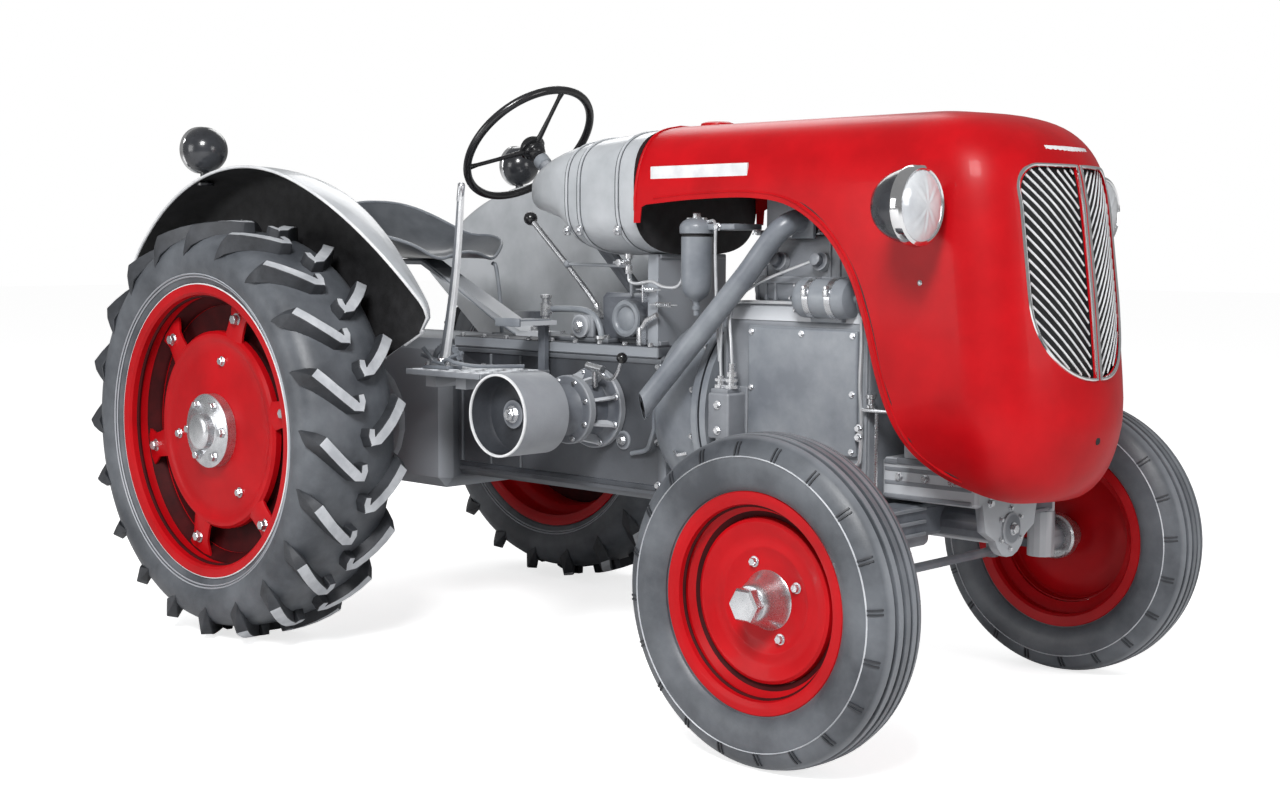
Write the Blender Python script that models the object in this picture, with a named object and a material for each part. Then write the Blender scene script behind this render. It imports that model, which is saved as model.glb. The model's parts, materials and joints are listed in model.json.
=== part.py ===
"""A vintage farm tractor, built piece by piece as it is assembled.

Units are metres, +X is forward, +Y is the driver's left and +Z is up. Sizes and places are written from the
middle of the rear axle; one empty then moves everything so that the world origin lies on the ground, under
the middle of the whole tractor.
"""

import math

import bmesh
import bpy
from mathutils import Matrix, Vector

RIGHT = -1
LEFT = 1
SIDES = (("right", RIGHT), ("left", LEFT))
GAP = 0.0003  # between faces that touch

# ---- driving dimensions ----
WHEELBASE = 1.837
REAR_TYRE_RADIUS = 0.569  # to the ground, so also the height of the rear axle
FRONT_TYRE_RADIUS = 0.347
REAR_TRACK_HALF = 0.643  # tractor's middle to the middle of a rear tyre
FRONT_TRACK_HALF = 0.600
NOSE_X = 2.248
TREAD_FACETS_REAR = 32  # multiples of 4, so that a flat one stands on the ground
TREAD_FACETS_FRONT = 24

# rear wheels
REAR_TYRE_HALF_WIDTH = 0.147
REAR_RIM_HALF_WIDTH = 0.125
REAR_FLANGE_RADIUS = 0.396
REAR_BEAD_RADIUS = 0.371
REAR_WELL_RADIUS = 0.345
REAR_RIM_WALL = 0.006
REAR_DISC_RADIUS = 0.270
REAR_DISC_Y = 0.712
REAR_HUB_RADIUS = 0.100
REAR_HUB_FACE_Y = 0.756
REAR_AXLE_END_Y = 0.785
REAR_HUB_BACK_Y = 0.660
REAR_STUB_RADIUS = 0.030
REAR_STUB_END_Y = 0.720
RIM_LUGS = 6
RIM_LUG_HALF_WIDTH = 0.029

# front wheels
FRONT_TYRE_HALF_WIDTH = 0.080
FRONT_RIM_HALF_WIDTH = 0.0575
FRONT_FLANGE_RADIUS = 0.229
FRONT_BEAD_RADIUS = 0.205
FRONT_RIM_WALL = 0.005
FRONT_HUB_RADIUS = 0.062
FRONT_HUB_HOLE = 0.040
FRONT_HUB_BACK = 0.075  # behind the middle of the tyre
FRONT_NUT_RADIUS = 0.034
SPINDLE_RADIUS = 0.020
SPINDLE_REACH = 0.040  # past the middle of the tyre, inside the hub

# front axle and steering
KINGPIN_Y = 0.470
KINGPIN_RADIUS = 0.017
BARREL_RADIUS = 0.032
BEAM_LOW = 0.420
BEAM_HIGH = 0.500
BEAM_DEPTH = 0.080  # along X
TIE_ARM = Vector((-0.140, 0.0))  # from the kingpin to the tie rod's eye
DRAG_ARM = Vector((0.0, -0.130))  # from the left kingpin to the drag link's ball
TIE_ROD_Z = 0.300
EYE_RADIUS = 0.018
ROD_RADIUS = 0.012
PIVOT_PLATE_X = 2.035
PIVOT_Z = 0.450
STEERING_WHEEL_CENTRE = Vector((0.471, 0.0, 1.354))
STEERING_WHEEL_RADIUS = 0.209
COLUMN_TILT = math.radians(46)  # of the column from straight down, towards the front
COLUMN_RADIUS = 0.020
STEERING_BOX = ((0.840, 1.020), (-0.090, 0.090), 0.950)
DROP_ARM_AXIS = Vector((0.960, 0.0, 0.885))
DROP_ARM_LENGTH = 0.260
DROP_ARM_Y = (0.232, 0.248)
DRAG_EYE_Y = (0.262, 0.282)

# gearbox, clutch housing and engine
GEARBOX_X = (0.200, 1.120)
GEARBOX_HALF_WIDTH = 0.150
GEARBOX_Z = (0.430, 0.820)
FINAL_DRIVE_X = (-0.220, 0.340)
FINAL_DRIVE_HALF_WIDTH = 0.200
FINAL_DRIVE_LOW = 0.390
AXLE_TUBE_RADIUS = 0.085
AXLE_TUBE_END_Y = 0.625
CLUTCH_X = (1.1203, 1.355)
CLUTCH_RADIUS = 0.245
CRANK_Z = 0.670
PEDAL_X = 0.715
ENGINE_X = (1.3553, 1.780)
ENGINE_HALF_WIDTH = 0.190
ENGINE_Z = (0.360, 0.900)
HEAD_X = (1.400, 1.740)
HEAD_HALF_WIDTH = 0.150
HEAD_TOP = 1.220
EXHAUST_RADIUS = 0.026
PULLEY_CENTRE = Vector((0.890, 0.0, 0.655))
PULLEY_RADIUS = 0.103
PULLEY_INNER_Y = 0.350
PULLEY_WIDTH = 0.150
PULLEY_SHAFT_RADIUS = 0.020
PTO_RADIUS = 0.0175
PTO_Z = 0.560

# hood, tank, fenders and seat
SHEET = 0.006
HOOD_REAR_X = 1.100
HOOD_HALF_WIDTH = 0.270
HOOD_REAR_SHARE = 0.88  # of the width at the nose
NOSE_ARC = 0.400
NOSE_CORNER = 0.152
NOSE_ARC_ANGLE = math.radians(28.3)
GRILLE_HALF_WIDTH = 0.180
GRILLE_BAR_HALF = 0.012
GRILLE_Z = (0.797, 1.240)
LAMP_CENTRE = Vector((1.985, 0.370, 1.155))
LAMP_RADIUS = 0.083
FENDER_INNER_Y = 0.470
FENDER_RADIUS = 0.702
FENDER_WIDTH = 0.165
FENDER_CHORD_Z = 0.775
FENDER_ARC = (26, 142)  # degrees up from straight ahead
FENDER_STEPS = 14
REAR_LAMP_FOOT_Z = 1.256
REAR_LAMP_CENTRE = Vector((-0.222, 0.600, 1.335))
REAR_LAMP_RADIUS = 0.064
SEAT_CENTRE = Vector((0.000, 0.0, 1.035))
SEAT_HALF_LENGTH = 0.210
SEAT_HALF_WIDTH = 0.225
FOOT_PLATE_Z = 0.745
FOOT_PLATE_Y = (0.200, 0.440)

REAR_AXLE_Z = REAR_TYRE_RADIUS
FRONT_AXLE_Z = FRONT_TYRE_RADIUS
ORIGIN_SHIFT = -(NOSE_X - REAR_TYRE_RADIUS) / 2  # puts the world origin halfway between tyre and nose
COLUMN_DIRECTION = Vector((math.sin(COLUMN_TILT), 0, -math.cos(COLUMN_TILT)))

# name: colour, roughness, metallic
MATERIALS = {
    "red_paint": ((0.62, 0.015, 0.02), 0.35, 0.0),
    "grey_paint": ((0.22, 0.235, 0.26), 0.45, 0.0),
    "light_grey_paint": ((0.55, 0.57, 0.58), 0.4, 0.0),
    "bare_steel": ((0.55, 0.56, 0.57), 0.35, 1.0),
    "chrome": ((0.8, 0.8, 0.8), 0.12, 1.0),
    "tyre_rubber": ((0.06, 0.065, 0.07), 0.8, 0.0),
    "black_plastic": ((0.02, 0.02, 0.022), 0.4, 0.0),
    "grille_steel": ((0.4, 0.41, 0.42), 0.35, 1.0),
}


# ---- tools ----
def clear_scene():
    for obj in list(bpy.data.objects):
        bpy.data.objects.remove(obj)


def material(name):
    found = bpy.data.materials.get(name)
    if found:
        return found
    colour, roughness, metallic = MATERIALS[name]
    made = bpy.data.materials.new(name)
    made.use_nodes = True
    shader = made.node_tree.nodes["Principled BSDF"]
    shader.inputs["Base Color"].default_value = (*colour, 1)
    shader.inputs["Roughness"].default_value = roughness
    shader.inputs["Metallic"].default_value = metallic
    return made


def empty(name, at, parent=None):
    """An empty at a place in the tractor's frame, which its pieces are parented to."""
    obj = bpy.data.objects.new(name, None)
    bpy.context.scene.collection.objects.link(obj)
    obj["at"] = tuple(at)
    obj.parent = parent
    obj.location = Vector(at) - (Vector(parent["at"]) if parent else Vector())
    return obj


def make(name, bm, colour, body):
    """An object from a bmesh in the tractor's frame, with its origin on its body's empty."""
    bmesh.ops.remove_doubles(bm, verts=bm.verts, dist=1e-6)
    bmesh.ops.recalc_face_normals(bm, faces=bm.faces)
    at = Vector(body["at"])
    bmesh.ops.translate(bm, vec=-at, verts=bm.verts)
    mesh = bpy.data.meshes.new(name)
    bm.to_mesh(mesh)
    bm.free()
    mesh.shade_smooth()
    mesh.set_sharp_from_angle(angle=math.radians(35))
    obj = bpy.data.objects.new(name, mesh)
    bpy.context.scene.collection.objects.link(obj)
    obj.parent = body
    mesh.materials.append(material(colour))
    return obj


def boolean(target, operation, tools):
    """Joins or cuts target with bmeshes in the tractor's frame, each kept as a hidden helper."""
    for index, bm in enumerate(tools):
        helper = make(f"{target.name}_{operation.lower()}_{index}", bm, target.active_material.name, target.parent)
        helper.hide_render = True
        helper.display_type = "WIRE"
        modifier = target.modifiers.new(f"{operation.lower()}_{index}", "BOOLEAN")
        modifier.operation = operation
        modifier.object = helper
    return target


def fuse(target, *tools):
    return boolean(target, "UNION", tools)


def cut(target, *tools):
    return boolean(target, "DIFFERENCE", tools)


def box(x, y, z, bevel=0.0):
    """A block between two values on each axis."""
    bm = bmesh.new()
    bmesh.ops.create_cube(bm, size=1)
    low = Vector(min(pair) for pair in (x, y, z))
    high = Vector(max(pair) for pair in (x, y, z))
    bmesh.ops.scale(bm, vec=high - low, verts=bm.verts)
    bmesh.ops.translate(bm, vec=(low + high) / 2, verts=bm.verts)
    if bevel:
        bmesh.ops.bevel(bm, geom=bm.edges, offset=bevel, segments=1, affect="EDGES")
    return bm


def bore(radius, facets):
    """A hole's radius, so that a faceted shaft can turn in it with GAP to spare."""
    return (radius + GAP) / math.cos(math.pi / facets)


def side_y(y, side):
    """A pair of distances from the middle, on the side asked for."""
    return (y[0] * side, y[1] * side)


def turned(profile, centre, axis, facets, phase=0.5):
    """A solid of revolution. The profile is a closed loop of (radius, distance along the axis)."""
    bm = bmesh.new()
    rings = []
    for radius, along in profile:
        if radius < 1e-9:
            rings.append([bm.verts.new((0, 0, along))] * facets)
            continue
        ring = []
        for k in range(facets):
            angle = 2 * math.pi * (k + phase) / facets
            ring.append(bm.verts.new((radius * math.cos(angle), radius * math.sin(angle), along)))
        rings.append(ring)
    for index, ring in enumerate(rings):
        after = rings[(index + 1) % len(rings)]
        for k in range(facets):
            corners = [ring[k], ring[(k + 1) % facets], after[(k + 1) % facets], after[k]]
            corners = list(dict.fromkeys(corners))
            if len(corners) > 2:
                bm.faces.new(corners)
    direction = Vector(axis).normalized()
    across = Vector((1, 0, 0)) if abs(direction.x) < 0.9 else Vector((0, 1, 0))
    across = (across - direction * across.dot(direction)).normalized()
    turn = Matrix((across, direction.cross(across), direction)).transposed().to_4x4()
    bmesh.ops.transform(bm, matrix=Matrix.Translation(centre) @ turn, verts=bm.verts)
    return bm


def rod(start, end, radius, facets=10):
    start, end = Vector(start), Vector(end)
    length = (end - start).length
    return turned([(0, 0), (radius, 0), (radius, length), (0, length)], start, end - start, facets)


def pipe(points, radius, facets=10):
    """A round bar along a line of points, with mitred corners."""
    points = [Vector(p) for p in points]
    bm = bmesh.new()
    direction = (points[1] - points[0]).normalized()
    side = direction.orthogonal().normalized()
    rings = []
    for index, point in enumerate(points):
        before = (point - points[index - 1]).normalized() if index else direction
        after = (points[index + 1] - point).normalized() if index + 1 < len(points) else before
        tangent = (before + after).normalized()
        side = (side - tangent * side.dot(tangent)).normalized()
        up = tangent.cross(side)
        stretch = 1 / max(0.5, tangent.dot(after))
        ring = []
        for k in range(facets):
            angle = 2 * math.pi * k / facets
            ring.append(bm.verts.new(point + (side * math.cos(angle) + up * math.sin(angle)) * radius * stretch))
        rings.append(ring)
    for ring, after in zip(rings, rings[1:]):
        for k in range(facets):
            bm.faces.new((ring[k], ring[(k + 1) % facets], after[(k + 1) % facets], after[k]))
    bm.faces.new(rings[0])
    bm.faces.new(rings[-1])
    return bm


def slab(outline, y):
    """A plate cut to an outline of (x, z) points, between two values of y."""
    bm = bmesh.new()
    near = [bm.verts.new((x, min(y), z)) for x, z in outline]
    far = [bm.verts.new((x, max(y), z)) for x, z in outline]
    bm.faces.new(near)
    bm.faces.new(far)
    for k in range(len(outline)):
        after = (k + 1) % len(outline)
        bm.faces.new((near[k], near[after], far[after], far[k]))
    return bm


def loft(sections):
    """A solid through closed sections of equally many points, capped at both ends."""
    bm = bmesh.new()
    rings = [[bm.verts.new(p) for p in section] for section in sections]
    for ring, after in zip(rings, rings[1:]):
        for k in range(len(ring)):
            near = (k + 1) % len(ring)
            bm.faces.new((ring[k], ring[near], after[near], after[k]))
    bm.faces.new(rings[0])
    bm.faces.new(rings[-1])
    return bm


def arc(centre, radius, start, end, steps):
    """Points on an arc, angles in degrees."""
    points = []
    for k in range(steps + 1):
        angle = math.radians(start + (end - start) * k / steps)
        points.append((centre[0] + radius * math.cos(angle), centre[1] + radius * math.sin(angle)))
    return points


# ---- wheels ----
def tyre_profile(tread, tread_half, widest, half_width, flange, bead, rim_half, wall):
    """Half of a tyre's section mirrored: bead between the flanges, sidewall over them, flat tread."""
    inside = rim_half - wall - GAP
    half = [
        (bead + GAP, inside),
        (flange + 0.006, inside),
        (flange + 0.010, rim_half + 0.005),
        (widest, half_width),
        (tread - 0.024, half_width - 0.012),
        (tread, tread_half),
    ]
    return half + [(radius, -along) for radius, along in reversed(half)]


def rim_profile(flange, bead, well, half_width, wall, well_half):
    """A rolled rim with a flange at each side and a well between the bead seats."""
    outside = [(flange, half_width), (flange, half_width - wall), (bead, half_width - wall), (bead, well_half + 0.02)]
    outside += [(well, well_half)]
    inside = [(well - wall, well_half), (bead - wall, well_half + 0.02), (bead - wall, half_width)]
    mirrored = [(radius, -along) for radius, along in reversed(outside)]
    return outside + mirrored + [(radius, -along) for radius, along in reversed(inside)] + inside


def rear_wheel(name, side, body):
    centre = Vector((0, REAR_TRACK_HALF * side, REAR_AXLE_Z))
    axis = (0, side, 0)
    flat = 1 / math.cos(math.pi / TREAD_FACETS_REAR)
    profile = tyre_profile(
        REAR_TYRE_RADIUS * flat, 0.100, 0.470, REAR_TYRE_HALF_WIDTH,
        REAR_FLANGE_RADIUS, REAR_BEAD_RADIUS, REAR_RIM_HALF_WIDTH, REAR_RIM_WALL,
    )
    make(f"{name}_tyre_rear", turned(profile, centre, axis, TREAD_FACETS_REAR), "tyre_rubber", body)
    profile = rim_profile(
        REAR_FLANGE_RADIUS, REAR_BEAD_RADIUS, REAR_WELL_RADIUS, REAR_RIM_HALF_WIDTH, REAR_RIM_WALL, 0.035
    )
    make(f"{name}_rim_rear", turned(profile, centre, axis, TREAD_FACETS_REAR), "red_paint", body)
    hub = [
        (0, REAR_AXLE_END_Y),
        (0.048, REAR_AXLE_END_Y),
        (0.048, REAR_HUB_FACE_Y),
        (REAR_HUB_RADIUS, REAR_HUB_FACE_Y),
        (REAR_HUB_RADIUS, REAR_DISC_Y + 0.010),
        (REAR_DISC_RADIUS - 0.03, REAR_DISC_Y),
        (REAR_DISC_RADIUS, REAR_DISC_Y - 0.012),
        (REAR_DISC_RADIUS, REAR_DISC_Y - 0.020),
        (REAR_DISC_RADIUS - 0.03, REAR_DISC_Y - 0.008),
        (REAR_HUB_RADIUS, REAR_DISC_Y),
        (0.085, REAR_HUB_BACK_Y),
        (bore(REAR_STUB_RADIUS, 20), REAR_HUB_BACK_Y),
        (bore(REAR_STUB_RADIUS, 20), REAR_STUB_END_Y),
        (0, REAR_STUB_END_Y),
    ]
    disc = make(f"{name}_disc_rear", turned(hub, (0, 0, REAR_AXLE_Z), axis, 20), "red_paint", body)
    lugs = []
    inside = (REAR_BEAD_RADIUS - REAR_RIM_WALL) * math.cos(math.pi / TREAD_FACETS_REAR) - GAP
    reach = math.sqrt(inside**2 - RIM_LUG_HALF_WIDTH**2)
    for k in range(RIM_LUGS):
        lug = box((REAR_DISC_RADIUS - 0.02, reach), (0, 0.014), (-RIM_LUG_HALF_WIDTH, RIM_LUG_HALF_WIDTH))
        turn = Matrix.Rotation(2 * math.pi * k / RIM_LUGS, 4, "Y")
        place = Matrix.Translation((0, (REAR_DISC_Y - 0.0125) * side, REAR_AXLE_Z))
        mirror = Matrix.Scale(side, 4, (0, 1, 0))
        bmesh.ops.transform(lug, matrix=place @ mirror @ turn, verts=lug.verts)
        lugs.append(lug)
    fuse(disc, *lugs)


def front_wheel(name, side, body):
    centre = Vector((WHEELBASE, FRONT_TRACK_HALF * side, FRONT_AXLE_Z))
    axis = (0, side, 0)
    flat = 1 / math.cos(math.pi / TREAD_FACETS_FRONT)
    profile = tyre_profile(
        FRONT_TYRE_RADIUS * flat, 0.050, 0.285, FRONT_TYRE_HALF_WIDTH,
        FRONT_FLANGE_RADIUS, FRONT_BEAD_RADIUS, FRONT_RIM_HALF_WIDTH, FRONT_RIM_WALL,
    )
    make(f"{name}_tyre_front", turned(profile, centre, axis, TREAD_FACETS_FRONT), "tyre_rubber", body)
    flange, bead, half, wall = FRONT_FLANGE_RADIUS, FRONT_BEAD_RADIUS, FRONT_RIM_HALF_WIDTH, FRONT_RIM_WALL
    rim = [
        (flange, -half), (flange, wall - half), (bead, wall - half),
        (bead, half - wall), (flange, half - wall), (flange, half),
        (bead - wall, half), (bead - wall, wall), (FRONT_HUB_HOLE, wall), (FRONT_HUB_HOLE, 0),
        (bead - wall, 0), (bead - wall, -half),
    ]
    make(f"{name}_rim_front", turned(rim, centre, axis, TREAD_FACETS_FRONT), "red_paint", body)
    hub = [
        (0, 0.088), (FRONT_NUT_RADIUS, 0.088), (FRONT_NUT_RADIUS, 0.066), (0.040, 0.062),
        (FRONT_HUB_RADIUS, wall + GAP), (FRONT_HUB_HOLE - 0.001, wall + GAP), (FRONT_HUB_HOLE - 0.001, -0.040),
        (0.055, -0.045), (0.055, -FRONT_HUB_BACK), (bore(SPINDLE_RADIUS, 14), -FRONT_HUB_BACK),
        (bore(SPINDLE_RADIUS, 14), SPINDLE_REACH), (0, SPINDLE_REACH),
    ]
    make(f"{name}_hub_front", turned(hub, centre, axis, 14), "grey_paint", body)


# ---- front axle and steering ----
def eye(centre_xy, z, radius=EYE_RADIUS):
    return rod((*centre_xy, z[0]), (*centre_xy, z[1]), radius)


def flat_arm(start, end, z, half_width=0.013):
    """A flat bar between two points seen from above."""
    start, end = Vector(start), Vector(end)
    across = (end - start).orthogonal().normalized() * half_width
    corners = (start + across, end + across, end - across, start - across)
    low = [(*corner, z[0]) for corner in corners]
    high = [(*corner, z[1]) for corner in corners]
    return loft([low, high])


def knuckle(name, side, body):
    pin = Vector((WHEELBASE, KINGPIN_Y * side))
    knuckle_low = FRONT_AXLE_Z - 0.040
    block = rod((*pin, knuckle_low), (*pin, BEAM_LOW - GAP), 0.034, 14)
    obj = make(f"{name}_knuckle", block, "grey_paint", body)
    hub_back = FRONT_TRACK_HALF - FRONT_HUB_BACK
    spindle = [
        (0, 0), (0.034, 0), (0.034, hub_back - GAP - KINGPIN_Y), (SPINDLE_RADIUS, hub_back - GAP - KINGPIN_Y),
        (SPINDLE_RADIUS, FRONT_TRACK_HALF + SPINDLE_REACH - GAP - KINGPIN_Y),
        (0, FRONT_TRACK_HALF + SPINDLE_REACH - GAP - KINGPIN_Y),
    ]
    tie_eye = pin + Vector((TIE_ARM.x, -TIE_ARM.y * side))
    arm_z = (FRONT_AXLE_Z - 0.022, FRONT_AXLE_Z - 0.002)
    fuse(
        obj,
        turned(spindle, (*pin, FRONT_AXLE_Z), (0, side, 0), 14),
        rod((*pin, FRONT_AXLE_Z), (*pin, BEAM_HIGH + 0.012), KINGPIN_RADIUS, 12),
        rod((*pin, BEAM_HIGH + GAP), (*pin, BEAM_HIGH + 0.022), 0.030, 14),
        flat_arm(pin, tie_eye, arm_z),
        eye(tie_eye, (arm_z[0] - 0.0001, arm_z[1] + 0.001)),
    )
    if side == LEFT:
        ball = pin + DRAG_ARM
        fuse(obj, flat_arm(pin, ball, (BEAM_HIGH + 0.007, BEAM_HIGH + 0.020)),
             eye(ball, (BEAM_HIGH + 0.006, BEAM_HIGH + 0.024)))


def tie_rod(body):
    ends = [Vector((WHEELBASE + TIE_ARM.x, (KINGPIN_Y - TIE_ARM.y) * side)) for _, side in SIDES]
    obj = make("tie_rod", rod((*ends[0], TIE_ROD_Z), (*ends[1], TIE_ROD_Z), ROD_RADIUS), "grey_paint", body)
    top = FRONT_AXLE_Z - 0.0221 - GAP
    fuse(obj, *[eye(end, (TIE_ROD_Z - 0.014, top), 0.016) for end in ends])


def drag_link(body):
    ball = Vector((WHEELBASE, KINGPIN_Y)) + DRAG_ARM
    front_z = BEAM_HIGH + 0.024 + GAP
    rear = Vector((DROP_ARM_AXIS.x, sum(DRAG_EYE_Y) / 2, DROP_ARM_AXIS.z - DROP_ARM_LENGTH))
    bar = rod((*ball, front_z + 0.012), rear, ROD_RADIUS)
    obj = make("drag_link", bar, "grey_paint", body)
    fuse(
        obj,
        eye(ball, (front_z, front_z + 0.026)),
        rod((rear.x, DRAG_EYE_Y[0], rear.z), (rear.x, DRAG_EYE_Y[1], rear.z), EYE_RADIUS),
    )


def drop_arm(body):
    top = DROP_ARM_AXIS
    low = top.z - DROP_ARM_LENGTH
    outline = [(top.x - 0.028, top.z), (top.x - 0.016, low), (top.x + 0.016, low), (top.x + 0.028, top.z)]
    obj = make("drop_arm", slab(outline, DROP_ARM_Y), "grey_paint", body)
    ends = ((top.z, 0.028), (low, 0.016))
    fuse(obj, *[rod((top.x, DROP_ARM_Y[0] - 0.0003, z), (top.x, DROP_ARM_Y[1] + 0.0003, z), r, 14) for z, r in ends])


def steering_wheel(body):
    """Rim, three spokes and a hub, on the column's top end."""
    up = -COLUMN_DIRECTION
    rim = []
    for k in range(6):
        angle = 2 * math.pi * k / 6
        rim.append((STEERING_WHEEL_RADIUS - 0.0125 + 0.0125 * math.cos(angle), 0.0125 * math.sin(angle)))
    obj = make("steering_wheel", turned(rim, STEERING_WHEEL_CENTRE, up, 24), "black_plastic", body)
    hub = [(0, 0.014), (0.028, 0.010), (0.034, -0.030), (0.026, -0.060), (0, -0.060)]
    tools = [turned(hub, STEERING_WHEEL_CENTRE, up, 14)]
    across = Vector((0, 1, 0))
    ahead = across.cross(up)
    for degrees in (90, 210, 330):
        angle = math.radians(degrees)
        direction = ahead * math.sin(angle) + across * math.cos(angle)
        end = STEERING_WHEEL_CENTRE + direction * (STEERING_WHEEL_RADIUS - 0.0125)
        tools.append(rod(STEERING_WHEEL_CENTRE - up * 0.012, end, 0.007, 8))
    fuse(obj, *tools)


def steering_column(body):
    """The box on the gearbox, its cross shaft out to the left, and the column up to the wheel."""
    x, y, top = STEERING_BOX
    obj = make("steering_column", box(x, y, (GEARBOX_Z[1] + GAP, top), 0.012), "grey_paint", body)
    start = STEERING_WHEEL_CENTRE + COLUMN_DIRECTION * (0.060 + GAP)
    foot = (STEERING_WHEEL_CENTRE.z - top + 0.03) / COLUMN_DIRECTION.z * -1
    axis = DROP_ARM_AXIS
    fuse(
        obj,
        rod(start, STEERING_WHEEL_CENTRE + COLUMN_DIRECTION * foot, COLUMN_RADIUS, 12),
        rod((axis.x, 0.08, axis.z), (axis.x, DROP_ARM_Y[0] - 0.001, axis.z), 0.022, 12),
        rod((axis.x, -0.08, axis.z), (axis.x, -0.118, axis.z), 0.048, 16),
    )


def front_axle(body):
    """The beam with its kingpin barrels, and the pivot tube that it rocks on."""
    x = (WHEELBASE - BEAM_DEPTH / 2, WHEELBASE + BEAM_DEPTH / 2)
    y = (-KINGPIN_Y + 0.01, KINGPIN_Y - 0.01)
    beam = make("front_axle_beam", box(x, y, (BEAM_LOW + 0.004, BEAM_HIGH - 0.004), 0.008), "grey_paint", body)
    barrels = [
        rod((WHEELBASE, KINGPIN_Y * side, BEAM_LOW), (WHEELBASE, KINGPIN_Y * side, BEAM_HIGH), BARREL_RADIUS, 14)
        for _, side in SIDES
    ]
    bores = [
        rod((WHEELBASE, KINGPIN_Y * side, BEAM_LOW - 0.02), (WHEELBASE, KINGPIN_Y * side, BEAM_HIGH + 0.02),
            bore(KINGPIN_RADIUS, 12), 12)
        for _, side in SIDES
    ]
    fuse(beam, rod((ENGINE_X[1] + GAP, 0, PIVOT_Z), (PIVOT_PLATE_X - 0.02 - GAP, 0, PIVOT_Z), 0.040, 14), *barrels)
    cut(beam, *bores)


def front_axle_support(body):
    """The casting ahead of the engine, with the round-ended plate that holds the front of the axle's pivot."""
    x = (ENGINE_X[1] + GAP, PIVOT_PLATE_X)
    obj = make("front_axle_support", box(x, (-0.135, 0.135), (BEAM_HIGH + 0.006, 0.600), 0.008), "grey_paint", body)
    outline = [(-0.125, 0.560), (-0.100, PIVOT_Z)]
    outline += arc((0, PIVOT_Z), 0.064, 200, 340, 7) + [(0.100, PIVOT_Z), (0.125, 0.560)]
    fuse(obj, loft([[(value, y, z) for y, z in outline] for value in (PIVOT_PLATE_X - 0.02, PIVOT_PLATE_X)]))


# ---- gearbox, axle, clutch and engine ----
def gearbox(body):
    obj = make("gearbox_housing", box(
        GEARBOX_X, (-GEARBOX_HALF_WIDTH, GEARBOX_HALF_WIDTH), (GEARBOX_Z[0], GEARBOX_Z[1] - 0.018), 0.015
    ), "grey_paint", body)
    half = FINAL_DRIVE_HALF_WIDTH
    fuse(
        obj,
        box(FINAL_DRIVE_X, (-half, half), (FINAL_DRIVE_LOW, GEARBOX_Z[1] - 0.010), 0.030),
        box((0.330, 1.110), (-0.158, 0.158), (GEARBOX_Z[1] - 0.030, GEARBOX_Z[1]), 0.004),
        rod((0.770, -0.03, GEARBOX_Z[1] - 0.01), (0.770, -0.03, GEARBOX_Z[1] + 0.040), 0.045, 14),
    )


def axle_housing(name, side, body):
    """The tube from the final drive to the wheel, with the pad that the fender bolts to."""
    y0 = FINAL_DRIVE_HALF_WIDTH + GAP
    profile = [
        (0, y0), (0.165, y0), (0.165, y0 + 0.020), (0.130, y0 + 0.045), (AXLE_TUBE_RADIUS, 0.400),
        (AXLE_TUBE_RADIUS, AXLE_TUBE_END_Y - 0.020), (0.095, AXLE_TUBE_END_Y - 0.020), (0.095, AXLE_TUBE_END_Y),
        (REAR_STUB_RADIUS, AXLE_TUBE_END_Y), (REAR_STUB_RADIUS, REAR_STUB_END_Y - GAP), (0, REAR_STUB_END_Y - GAP),
    ]
    obj = make(f"{name}_axle_housing", turned(profile, (0, 0, REAR_AXLE_Z), (0, side, 0), 20), "grey_paint", body)
    pad = side_y((0.415, FENDER_INNER_Y - GAP), side)
    fuse(obj, box((-0.050, 0.050), pad, (REAR_AXLE_Z + 0.02, FENDER_CHORD_Z + 0.09), 0.0))


def clutch_housing(body):
    x0, x1 = CLUTCH_X
    profile = [
        (0, x0), (0.165, x0), (0.225, x0 + 0.050), (CLUTCH_RADIUS - 0.010, x0 + 0.120),
        (CLUTCH_RADIUS - 0.005, x1 - 0.050), (CLUTCH_RADIUS + 0.012, x1 - 0.048), (CLUTCH_RADIUS + 0.012, x1),
        (0, x1),
    ]
    make("clutch_housing", turned(profile, (0, 0, CRANK_Z), (1, 0, 0), 24), "grey_paint", body)


def engine(body):
    half = ENGINE_HALF_WIDTH
    block = make("engine_block", box(ENGINE_X, (-half, half), (0.420, ENGINE_Z[1]), 0.012), "grey_paint", body)
    fuse(
        block,
        box((ENGINE_X[0] + 0.02, ENGINE_X[1] - 0.04), (-0.130, 0.130), (ENGINE_Z[0], 0.440), 0.015),
        box((1.440, 1.757), (-half - 0.012, -half + 0.01), (0.600, 0.885), 0.0),
    )
    head = box(HEAD_X, (-HEAD_HALF_WIDTH, HEAD_HALF_WIDTH), (ENGINE_Z[1] + GAP, HEAD_TOP), 0.040)
    make("cylinder_head", head, "grey_paint", body)


def fuel_filter(body):
    """A bowl filter hanging from a bracket on the back of the cylinder head."""
    centre = (1.276, -0.200)
    profile = [
        (0, 0.905), (0.010, 0.905), (0.012, 0.935), (0.026, 0.948), (0.038, 0.975), (0.038, 1.105),
        (0.042, 1.108), (0.042, 1.128), (0.020, 1.150), (0, 1.150),
    ]
    obj = make("fuel_filter", turned(profile, (*centre, 0), (0, 0, 1), 14), "light_grey_paint", body)
    fuse(obj, box((1.290, HEAD_X[0] - GAP), (-0.210, -0.100), (1.112, 1.124)))


def injection_pump(body):
    face = -ENGINE_HALF_WIDTH - GAP
    obj = make("injection_pump", box((1.368, 1.432), (face, -0.262), (0.620, 0.735), 0.006), "grey_paint", body)
    fuse(obj, *[rod((x, -0.228, 0.72), (x, -0.228, z), 0.015) for x, z in ((1.384, 0.775), (1.418, 0.800))])


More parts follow.
